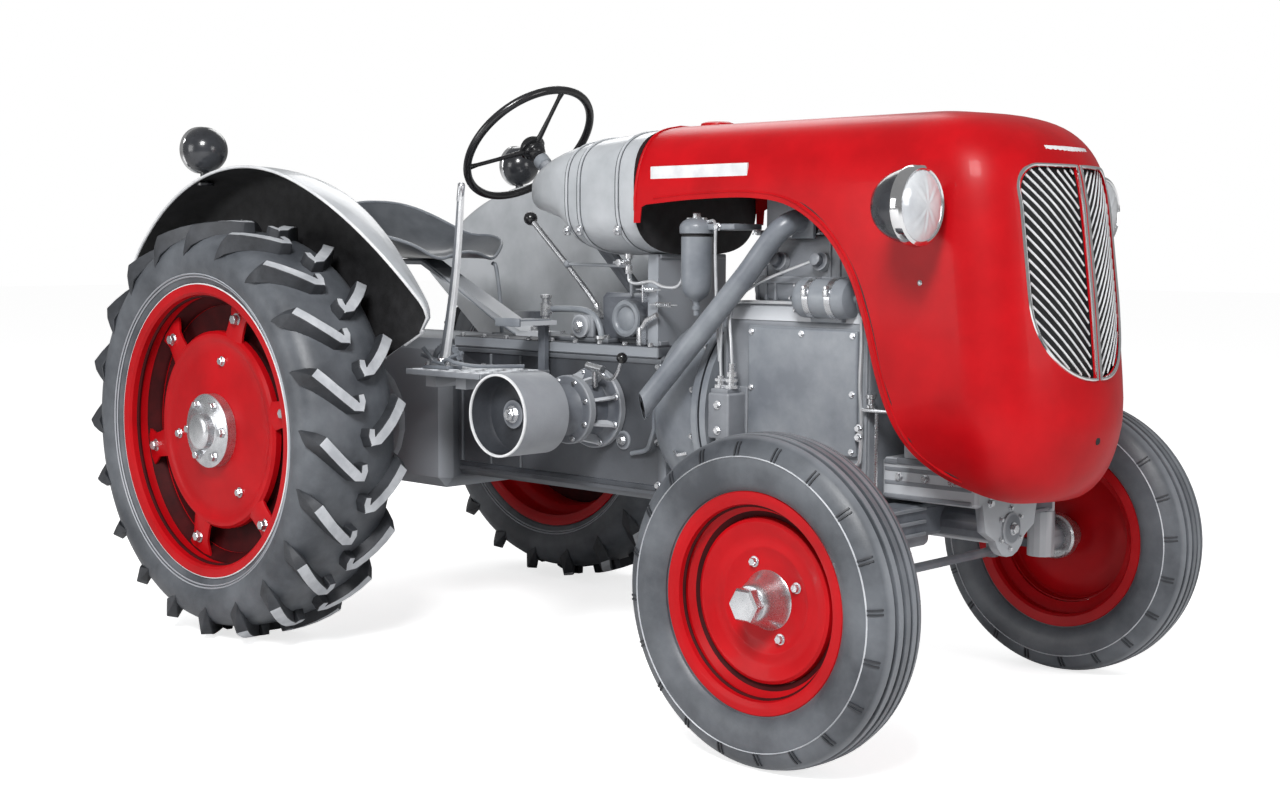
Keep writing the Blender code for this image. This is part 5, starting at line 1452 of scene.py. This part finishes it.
def pulley_housing():
    centre = PULLEY_AT
    profile = [
        (0, 0.1503), (0.102, 0.1503), (0.105, 0.153), (0.105, 0.168), (0.101, 0.172), (0.086, 0.174),
        (0.074, 0.184), (0.07, 0.2), (0.071, 0.236), (0.084, 0.24), (0.088, 0.243), (0.088, 0.26),
        (0.084, 0.264), (0.066, 0.268), (0.056, 0.28), (0.051, 0.3), (0.05, 0.346), (0.02, 0.346),
        (0.02, 0.438), (0, 0.438),
    ]
    bm = lathe(profile, centre, RIGHTWARD, 72)
    place("pulley_gear_case", bm, GREY, replaces=["pulley_housing"])
    bm = bmesh.new()
    ring = bmesh.new()
    for k in range(8):
        angle = radians(20 + 45 * k)
        out = Vector((cos(angle), 0, sin(angle)))
        bolt(bm, centre + out * 0.094 + Vector((0, -0.172, 0)), RIGHTWARD, 0.013, 0.007)
        bolt(bm, centre + out * 0.0765 + Vector((0, -0.2638, 0)), RIGHTWARD, 0.011, 0.006)
        rib = bmesh.new()
        round_ = Vector((-sin(angle), 0, cos(angle))) * 0.004
        rows = []
        for reach, y in ((0.068, -0.24), (0.082, -0.241)):
            rows.append([
                centre + out * reach + Vector((0, y, 0)) + round_,
                centre + out * reach + Vector((0, y, 0)) - round_,
            ])
        for reach, y in ((0.1, -0.173), (0.07, -0.173)):
            rows[0 if reach < 0.08 else 1] += [
                centre + out * reach + Vector((0, y, 0)) - round_,
                centre + out * reach + Vector((0, y, 0)) + round_,
            ]
        join(ring, loft(rows, rib))
    place("pulley_case_ribs", ring, GREY)
    # engaging lever: stem, T handle, curved rod and black ball
    pipe([(0.945, -0.215, 0.715), (0.955, -0.225, 0.76)], 0.008, 12, bm)
    pipe([(0.93, -0.226, 0.768), (0.955, -0.226, 0.764), (0.985, -0.226, 0.76)], 0.01, 14, bm)
    pipe(
        smooth_path([
            (0.96, -0.226, 0.762), (0.995, -0.235, 0.742), (1.03, -0.242, 0.738), (1.058, -0.248, 0.758),
            (1.072, -0.25, 0.785),
        ], 6),
        0.005, 10, bm,
    )
    place("pulley_lever", bm, STEEL)
    bm = lathe(ball(0.014, 14), (1.076, -0.251, 0.795), (0, 0, 1), 28)
    place("pulley_lever_ball", bm, BLACK)


def front_axle_details():
    bm = bmesh.new()
    for _, sign in SIDES:
        for z, out in ((0.515, 0.138), (0.545, 0.1365), (0.575, 0.1365), (0.592, 0.139)):
            block((1.79, 2.02), (0.125 * sign, out * sign), (z - 0.005, z + 0.005), 0.002, bm)
        for z in (0.432, 0.46, 0.489):
            for x in (WHEELBASE - 0.0415, WHEELBASE + 0.0415):
                block((x - 0.003, x + 0.003), (0.1 * sign, 0.43 * sign), (z - 0.004, z + 0.004), 0.0015, bm)
    lathe([
        (0, 0), (0.036, 0), (0.036, 0.005), (0.03, 0.008), (0, 0.008),
    ], (2.035, 0, AXLE_PIVOT_Z), AHEAD, 40, bm=bm)
    place("front_axle_ribs", bm, GREY)
    bm = bmesh.new()
    bolt_ring(bm, (2.0352, 0, AXLE_PIVOT_Z), AHEAD, 0.046, range(30, 360, 60), 0.009, 0.005)
    bolt(bm, (2.043, 0, AXLE_PIVOT_Z), AHEAD, 0.02, 0.008)
    for y in (-0.085, 0.085):
        for z in (0.515, 0.545):
            bolt(bm, (2.035, y, z), AHEAD, 0.014, 0.007)
    for _, sign in SIDES:
        for x in (1.83, 1.9, 1.97):
            bolt(bm, (x, 0.1355 * sign, 0.56), (0, sign, 0), 0.014, 0.007)
        lathe([
            (0, 0), (0.004, 0), (0.004, 0.01), (0.006, 0.012), (0.004, 0.016), (0, 0.016),
        ], (WHEELBASE, 0.47 * sign, 0.5222), UP, 14, bm=bm)
    place("front_axle_bolts", bm, STEEL)


# ---- steering wheel, seat, levers ----
def steering_wheel():
    up = Vector((-sin(radians(46)), 0, cos(radians(46))))
    centre = Vector((0.471, 0, 1.354))
    across = Vector((0, 1, 0))
    forward = across.cross(up)
    loop = []
    for k in range(96):
        angle = 2 * pi * k / 96
        loop.append(centre + (forward * cos(angle) + across * sin(angle)) * 0.1957)
    bm = ring_tube(loop, 0.0112, 16)
    for degrees in (90, 210, 330):
        angle = radians(degrees)
        direction = forward * sin(angle) + across * cos(angle)
        path = [
            centre + direction * r + up * z
            for r, z in ((0.012, -0.02), (0.045, -0.018), (0.11, -0.01), (0.165, -0.003), (0.192, 0.0))
        ]
        pipe(path, [0.01, 0.0075, 0.0058, 0.0058, 0.0085], 12, bm)
    hub = [
        (0, 0.01), (0.02, 0.008), (0.027, 0.002), (0.0275, -0.004), (0.036, -0.008), (0.0385, -0.014),
        (0.0375, -0.02), (0.03, -0.023), (0.0315, -0.029), (0.03, -0.034), (0.025, -0.037),
        (0.0265, -0.043), (0.024, -0.049), (0.02, -0.052), (0.021, -0.0595), (0, -0.0595),
    ]
    lathe(hub, centre, up, 48, bm=bm)
    place("steering_wheel_rim", bm, BLACK, "steering_wheel", ["steering_wheel"])
    bm = lathe([(0, 0.0), (0.012, 0.0), (0.01, 0.004), (0, 0.005)], centre + up * 0.0085, up, 32)
    place("steering_wheel_cap", bm, STEEL, "steering_wheel")
    bm = lathe([(0.0202, 0.062), (0.0225, 0.064), (0.0225, 0.085), (0.0202, 0.088)], centre, -up, 40)
    lathe([(0.0202, 0.15), (0.024, 0.152), (0.024, 0.16), (0.0202, 0.162)], centre, -up, 40, bm=bm)
    place("steering_column_collar", bm, HULL_GREY)


def seat_spot(ring, angle, under):
    c, s = cos(angle), sin(angle)
    x = 0.21 * ring * copysign(abs(c) ** 0.75, c)
    y = 0.225 * ring * copysign(abs(s) ** 0.75, s)
    back, ahead_, side = max(0.0, -x / 0.21), max(0.0, x / 0.21), abs(y) / 0.225
    rise = 0.02 * ring**2 + 0.15 * back**2 + 0.05 * side**3
    dip = 0.026 * ahead_**2 * exp(-(((abs(y) - 0.105) / 0.05) ** 2))
    return Vector((x, y, 1.035 + rise - dip - under))


def seat():
    bm = bmesh.new()
    steps, rings = 96, 18
    for under in (0.0, 0.0045):
        shell = []
        for ring in range(1, rings + 1):
            shell.append([
                bm.verts.new(seat_spot(ring / rings, 2 * pi * k / steps, under)) for k in range(steps)
            ])
        middle = bm.verts.new(seat_spot(0, 0, under))
        for k in range(steps):
            bm.faces.new((middle, shell[0][k], shell[0][(k + 1) % steps]))
            for ring, after in zip(shell, shell[1:]):
                bm.faces.new((ring[k], ring[(k + 1) % steps], after[(k + 1) % steps], after[k]))
        if under:
            for k in range(steps):
                near = (k + 1) % steps
                bm.faces.new((top_edge[k], top_edge[near], shell[-1][near], shell[-1][k]))
        top_edge = shell[-1]
    place("seat_pan", bm, SEAT, replaces=["seat"])
    loop = [seat_spot(1.0, 2 * pi * k / 96, 0.002) for k in range(96)]
    place("seat_rolled_edge", ring_tube(loop, 0.0048, 10), HULL_GREY)
    bm = bmesh.new()
    for x, y in ((-0.03, -0.018), (-0.03, 0.018), (0.03, 0.0)):
        bolt(bm, (x, y, 1.0365), UP, 0.016, 0.006)
    for x in (0.49, 0.535):
        bolt(bm, (x, 0, 0.834), UP, 0.018, 0.009)
    place("seat_bolts", bm, STEEL)
    bm = pipe(
        smooth_path([
            (0.182, 0.12, 1.02), (0.196, 0.122, 1.005), (0.212, 0.124, 0.9), (0.218, 0.124, 0.812),
        ], 6),
        0.006, 12,
    )
    block((0.196, 0.24), (0.104, 0.144), (0.8098, 0.816), 0.002, bm)
    place("seat_stay", bm, HULL_GREY)
    rows = []
    for x, z in (
        (-0.046, 1.0225), (0.04, 1.0225), (0.06, 1.016), (0.15, 0.969), (0.25, 0.917), (0.35, 0.8645),
        (0.44, 0.824), (0.452, 0.8206),
    ):
        rows.append([
            Vector((x, y, z + dz))
            for y, dz in (
                (-0.037, 0.0035), (-0.034, 0.009), (0.034, 0.009), (0.037, 0.0035), (0.034, 0.0),
                (-0.034, 0.0),
            )
        ])
    place("seat_leaf", loft(rows), HULL_GREY)


def levers():
    route = smooth_path([
        (0.77, -0.03, 0.8605), (0.77, -0.03, 0.905), (0.752, -0.0315, 0.93), (0.7, -0.036, 0.984),
        (0.532, -0.052, 1.146),
    ], 8)
    bm = pipe(route, [0.0092] * 12 + [0.0082] * (len(route) - 12), 14)
    lathe([
        (0.01, 0), (0.022, 0), (0.024, 0.004), (0.018, 0.016), (0.01, 0.022),
    ], (0.77, -0.03, 0.878), UP, 32, bm=bm)
    place("gear_lever_stem", bm, STEEL, replaces=["gear_lever"])
    bm = lathe(ball(0.019, 18), (0.532, -0.052, 1.146), (-0.7, 0, 0.7), 36)
    place("gear_lever_knob", bm, BLACK)
    # long flat brake lever: a pale front half as painted highlight and a dark rear half as painted shade,
    # ratchet plates at its foot
    foot, top_ = Vector((0.522, -0.359, 0.752)), Vector((0.598, -0.359, 1.232))
    for name, offset, material in (("front", 0.0065, PLATE), ("rear", -0.0065, DARK_GREY)):
        rows = []
        for k in range(25):
            share = k / 24
            spot = foot.lerp(top_, share) + Vector((0.012 * sin(pi * share), 0, 0))
            wide = 0.0085 - 0.0045 * share
            shift = offset * (1.15 - 0.6 * share)
            rows.append([
                spot + Vector((shift + dx * wide, dy, 0))
                for dx, dy in (
                    (-1, -0.005), (-0.7, -0.0065), (0.7, -0.0065), (1, -0.005), (1, 0.005), (0.7, 0.0065),
                    (-0.7, 0.0065), (-1, 0.005),
                )
            ])
        place(
            f"hand_lever_{name}", loft(rows), material, replaces=["hand_lever"] if name == "front" else (),
        )
    bm = lathe([
        (0, -0.014), (0.008, -0.014), (0.0095, -0.01), (0.0095, 0.03), (0.006, 0.036), (0, 0.037),
    ], top_ - Vector((0.004, 0, 0.034)), (0.155, 0, 0.988), 24)
    place("hand_lever_grip", bm, STEEL)
    bm = block((0.47, 0.57), (-0.385, -0.333), (0.7453, 0.756), 0.003)
    pivot, sides = Vector((0.525, 0, 0.752)), (-0.35, -0.345)
    angles = range(20, 161, 10)
    arc = [(0.062, degrees) for degrees in angles] + [(0.046, degrees) for degrees in reversed(angles)]
    rows = []
    for y in sides:
        row = []
        for radius, degrees in arc:
            angle = radians(degrees)
            row.append(pivot + Vector((radius * cos(angle), y, radius * sin(angle))))
        rows.append(row)
    loft(rows, bm)
    for k in range(12):  # ratchet teeth
        angle = radians(30 + 10.5 * k)
        x, z = pivot.x + 0.062 * cos(angle), pivot.z + 0.062 * sin(angle)
        block((x - 0.0025, x + 0.0025), sides, (z - 0.003, z + 0.003), 0.0005, bm)
    pipe(
        smooth_path([
            (0.53, -0.372, 0.76), (0.556, -0.375, 0.772), (0.59, -0.372, 0.765), (0.64, -0.34, 0.757),
            (0.72, -0.25, 0.757),
        ], 6),
        0.005, 10, bm,
    )
    pipe([(0.45, -0.372, 0.78), (0.52, -0.366, 0.764), (0.58, -0.34, 0.79)], 0.0055, 10, bm)
    pipe([(0.47, -0.385, 0.8), (0.5, -0.372, 0.765), (0.545, -0.372, 0.76)], 0.006, 10, bm)
    place("hand_lever_quadrant", bm, HULL_GREY)
    bm = bmesh.new()
    bolt(bm, (0.524, -0.3655, 0.765), RIGHTWARD, 0.018, 0.008)
    for x in (0.48, 0.56):
        bolt(bm, (x, -0.376, 0.756), UP, 0.012, 0.006)
    place("hand_lever_bolts", bm, STEEL)


def pedals_and_footrests():
    for name, sign in SIDES:
        bm = bmesh.new()
        for k in range(9):
            x = 0.486 + 0.03 * k
            for j in range(5):
                y = 0.225 + 0.048 * j
                lean = 0.008 if (k + j) % 2 else -0.008
                rows = []
                for end in (-1, 1):
                    spot = Vector((x + lean * end, (y + 0.01 * end) * sign, 0.745))
                    rows.append([
                        spot + Vector((dx, 0, dz))
                        for dx, dz in (
                            (-0.003, -0.0005), (-0.0012, 0.0022), (0.0012, 0.0022), (0.003, -0.0005),
                        )
                    ])
                loft(rows, bm)
        for x in (0.47, 0.76):
            block((x - 0.004, x + 0.004), (0.2 * sign, 0.44 * sign), (0.733, 0.7475), 0.002, bm)
        block((0.47, 0.76), (0.436 * sign, 0.444 * sign), (0.733, 0.7475), 0.002, bm)
        place(f"{name}_footrest_tread", bm, GREY)
        bm = bmesh.new()
        for k in range(7):
            x = 0.672 + 0.0125 * k
            block((x - 0.0028, x + 0.0028), (0.18 * sign, 0.296 * sign), (0.8755, 0.8795), 0.001, bm)
        block((0.663, 0.757), (0.296 * sign, 0.302 * sign), (0.862, 0.884), 0.002, bm)
        place(f"{name}_pedal_pad", bm, HULL_GREY)
        bm = bmesh.new()
        bolt(bm, (0.715, 0.1905 * sign, 0.68), (0, sign, 0), 0.024, 0.01)
        for x in (0.52, 0.64):
            bolt(bm, (x, 0.215 * sign, 0.745), UP, 0.013, 0.006)
        place(f"{name}_pedal_bolts", bm, STEEL)


# ---- fenders and rear lamps ----
FENDER_REACH, FENDER_INNER, FENDER_WIDTH, FENDER_SHEET = 0.702, 0.47, 0.165, 0.0032
FENDER_START, FENDER_SWEEP = 26, 116  # degrees round the rear axle from straight ahead


def fender(name, sign):
    steps = 72
    rows, edge, inner_edge = [], [], []
    for step in range(steps + 1):
        degrees = FENDER_START + FENDER_SWEEP * step / steps
        angle = radians(degrees)
        share = min(1, (degrees - FENDER_START) / 50)
        width = max(0.012, FENDER_WIDTH * sin(share * pi / 2) ** 0.8)
        low = min((0.775 - REAR_Z) / sin(angle), 0.672)
        drop = 0.06 * (1 - sqrt(max(0.0, 1 - max(0.0, (31 - degrees) / 5) ** 2)))
        fillet = min(0.04, width * 0.45, (FENDER_REACH - low) * 0.8)
        shape = [(low, FENDER_INNER), (low + (FENDER_REACH - fillet - low) * 0.5, FENDER_INNER + 0.0002)]
        for k in range(7):
            bend = pi / 2 * k / 6
            y = FENDER_INNER + fillet - fillet * cos(bend)
            shape.append((FENDER_REACH - fillet + fillet * sin(bend), y))
        for k in range(1, 7):
            across_ = fillet + (width - fillet) * k / 6
            crown = 0.004 * sin(pi * k / 6)
            shape.append((FENDER_REACH + 0.07 * across_ + crown, FENDER_INNER + across_))
        back = []
        for index, (radius, y) in enumerate(shape):
            before, after = shape[max(index - 1, 0)], shape[min(index + 1, len(shape) - 1)]
            run = Vector((after[0] - before[0], after[1] - before[1])).normalized()
            back.append((radius - run.y * FENDER_SHEET, y + run.x * FENDER_SHEET))
        full = [(max(low, r - drop * (r - low) / (FENDER_REACH - low)), y) for r, y in shape + back[::-1]]

        def spot(radius, y):
            return Vector((radius * cos(angle), y * sign, REAR_Z + radius * sin(angle)))

        rows.append([spot(*point) for point in full])
        tip = full[len(shape) - 1]
        if step == 0:
            edge += [spot(*point) for point in full[1:len(shape) - 1]]
        edge.append(spot(tip[0] - 0.0015, tip[1]))
        inner_edge.append(spot(low + 0.001, FENDER_INNER + 0.0016))
    bm = loft(rows)

    # the fender's underside faces are painted black: painted shade
    def underneath(middle, normal):
        out = Vector((middle.x, 0, middle.z - REAR_Z)).normalized()
        return normal.dot(out) < -0.3 or normal.y * sign > 0.6 and middle.y * sign > FENDER_INNER + 0.0015

    place(f"{name}_fender_sheet", bm, PALE, replaces=[f"{name}_fender"], second=SHADE_AND_BELT_BLACK, where=underneath)
    # pale beads along the fender's outer and inner edges: painted highlight
    bm = pipe([p - Vector((0, 0.002 * sign, 0)) for p in edge], 0.0042, 10)
    pipe(inner_edge, 0.0035, 8, bm)
    place(f"{name}_fender_bead", bm, PLATE)
    bm = bmesh.new()
    for x, z in ((-0.03, 0.8), (0.03, 0.8), (-0.03, 0.845), (0.03, 0.845)):
        bolt(bm, (x, 0.4738 * sign, z), (0, sign, 0), 0.016, 0.007)
    place(f"{name}_fender_bolts", bm, STEEL)
    x, y, z = -0.222, 0.6, 1.335
    bm = lathe([
        (0, 1.236), (0.026, 1.236), (0.026, 1.243), (0.016, 1.246), (0.013, 1.252), (0.0125, 1.29),
        (0, 1.29),
    ], (x, y * sign, 0), (0, 0, 1), 28)
    bowl = [(0.064 * sin(radians(a)), -0.064 * cos(radians(a))) for a in range(0, 106, 5)]
    bowl += [(0.06, 0.024), (0.055, 0.024), (0, 0.02)]
    lathe(bowl, (x, y * sign, z), BACK, 48, bm=bm)
    place(f"{name}_rear_lamp_bowl", bm, LAMP_GREY, replaces=[f"{name}_rear_lamp"])
    bm = lathe([
        (0.0605, 0.01), (0.0655, 0.012), (0.0655, 0.024), (0.062, 0.03), (0.056, 0.03), (0.056, 0.016),
    ], (x, y * sign, z), BACK, 48)
    place(f"{name}_rear_lamp_ring", bm, CHROME)
    glass = [
        (0, 0.05), (0.018, 0.049), (0.036, 0.044), (0.048, 0.037), (0.0565, 0.029), (0.05, 0.024),
        (0, 0.024),
    ]
    place(f"{name}_rear_lamp_glass", lathe(glass, (x, y * sign, z), BACK, 48), LENS)


def small_fittings():
    bm = bmesh.new()
    for _, sign in SIDES:
        lathe(
            [(0, -0.002), (0.006, -0.002), (0.006, 0.001), (0.003, 0.003), (0, 0.003)],
            (1.966, hood_y(1.966, 0.996) * sign, 0.996), (0, sign, 0), 16, bm=bm,
        )
    place("hood_side_fasteners", bm, STEEL)
    bm = bmesh.new()
    for _, sign in SIDES:
        points = []
        for z, half_width, _ in smooth_levels(4):
            if 1.168 < z < 1.372:
                points.append(Vector((HOOD_REAR + 0.003, half_width * 0.88 * sign, z - 0.001)))
        pipe([
            points[0] - Vector((0, 0, 0.03)), *points, Vector((HOOD_REAR + 0.003, 0, 1.3695)),
        ], 0.0045, 10, bm)
    place("hood_rear_lip", bm, RED)
    bm = block((1.87, 1.972), (-0.205, 0.205), (1.222, 1.236), 0.003)
    block((1.87, 1.972), (-0.205, 0.205), (0.598, 0.612), 0.003, bm)
    for k in range(23):
        y = -0.198 + 0.018 * k
        block((1.9605, 1.9635), (y - 0.0012, y + 0.0012), (0.615, 1.215), 0, bm)
    place("radiator_frame", bm, DARK_GREY)
    bm = bmesh.new()
    for _, sign in SIDES:
        bolt(bm, (1.0675, 0.11 * sign, 0.832), UP, 0.014, 0.007)
        block((1.045, 1.092), (0.095 * sign, 0.128 * sign), (0.8203, 0.832), 0.002, bm)
        block((1.048, 1.0505), (0.02 * sign, 0.11 * sign), (0.86, 1.03), 0.001, bm)
    place("tank_bracket_feet", bm, GREY)


# ---- CAD nodes that stay, with their materials; the gearbox housing and tank bracket wear painted shade ----
NODE_MATERIALS = {
    "pto_shaft": STEEL, "radiator": DARK_GREY, "gearbox_housing": SHADOW_GREY, "tank_bracket": SHADOW_GREY,
    "tie_rod": HULL_GREY, "drag_link": HULL_GREY, "drop_arm": HULL_GREY,
}
for node_name, obj in frame["nodes"].items():
    obj.data.materials.clear()
    obj.data.materials.append(NODE_MATERIALS.get(node_name, GREY))

for side_name, sign_ in SIDES:
    rear_wheel(side_name, sign_, f"{side_name}_rear_wheel")
    front_wheel(side_name, sign_, f"{side_name}_front_wheel")
    headlamp(side_name, sign_)
    fender(side_name, sign_)
for maker in (
    hood, grille, fuel_tank, fuel_tap, fuel_filter, exhaust, clutch_housing, engine, cylinder_head, dynamo,
    injection_pump, gearbox_details, belt_pulley, pulley_housing, front_axle_details, steering_wheel, seat,
    levers, pedals_and_footrests, small_fittings,
):
    maker()


# ---- floor and light ----
WHITE = (1, 1, 1, 1)
FLOOR_GREY, FLOOR_GLOW, SKY_LIGHT, FLOOR_REACH = 0.85, 0.74, 0.28, 40
AIM = Vector((0, 0, 0.6))
LIGHTS = (  # name, place, size, watts
    ("key", (3.2, -4.8, 5.0), 1.8, 450), ("fill", (-2.5, -6.0, 1.8), 2.5, 80),
    ("front", (6.5, 0.5, 2.2), 2.0, 60), ("back", (-4.0, 4.0, 4.5), 3.0, 80),
)


def white_floor():
    floor = bpy.data.meshes.new("floor")
    corners = [(x * FLOOR_REACH, y * FLOOR_REACH, 0) for x, y in ((-1, -1), (1, -1), (1, 1), (-1, 1))]
    floor.from_pydata(corners, [], [(0, 1, 2, 3)])
    obj = bpy.data.objects.new("floor", floor)
    bpy.context.scene.collection.objects.link(obj)
    made = bpy.data.materials.new("floor_white")
    made.use_nodes = True
    shader = made.node_tree.nodes["Principled BSDF"]
    shader.inputs["Base Color"].default_value = (FLOOR_GREY, FLOOR_GREY, FLOOR_GREY, 1)
    shader.inputs["Roughness"].default_value = 0.95
    seen = node(made.node_tree, "ShaderNodeLightPath")
    glow = node(made.node_tree, "ShaderNodeMath", operation="MULTIPLY")
    glow.inputs[1].default_value = FLOOR_GLOW
    made.node_tree.links.new(seen.outputs["Is Camera Ray"], glow.inputs[0])
    shader.inputs["Emission Color"].default_value = WHITE
    made.node_tree.links.new(glow.outputs[0], shader.inputs["Emission Strength"])
    floor.materials.append(made)


def white_sky():
    """White to the camera, dimmer as a light."""
    world = bpy.data.worlds.new("studio")
    bpy.context.scene.world = world
    world.use_nodes = True
    tree = world.node_tree
    tree.nodes.clear()
    out = node(tree, "ShaderNodeOutputWorld")
    path = node(tree, "ShaderNodeLightPath")
    seen = node(tree, "ShaderNodeBackground", Color=WHITE)
    lit = node(tree, "ShaderNodeBackground", Color=WHITE, Strength=SKY_LIGHT)
    mix = node(tree, "ShaderNodeMixShader")
    tree.links.new(path.outputs["Is Camera Ray"], mix.inputs[0])
    tree.links.new(lit.outputs[0], mix.inputs[1])
    tree.links.new(seen.outputs[0], mix.inputs[2])
    tree.links.new(mix.outputs[0], out.inputs["Surface"])


def studio_lights():
    for name, at, size, power in LIGHTS:
        lamp = bpy.data.lights.new(name, "AREA")
        lamp.size, lamp.energy = size, power
        obj = bpy.data.objects.new(name, lamp)
        bpy.context.scene.collection.objects.link(obj)
        obj.location = at
        obj.rotation_mode = "QUATERNION"
        obj.rotation_quaternion = (AIM - Vector(at)).to_track_quat("-Z", "Y")


white_floor()
white_sky()
studio_lights()
bpy.context.scene.view_settings.view_transform = "Standard"
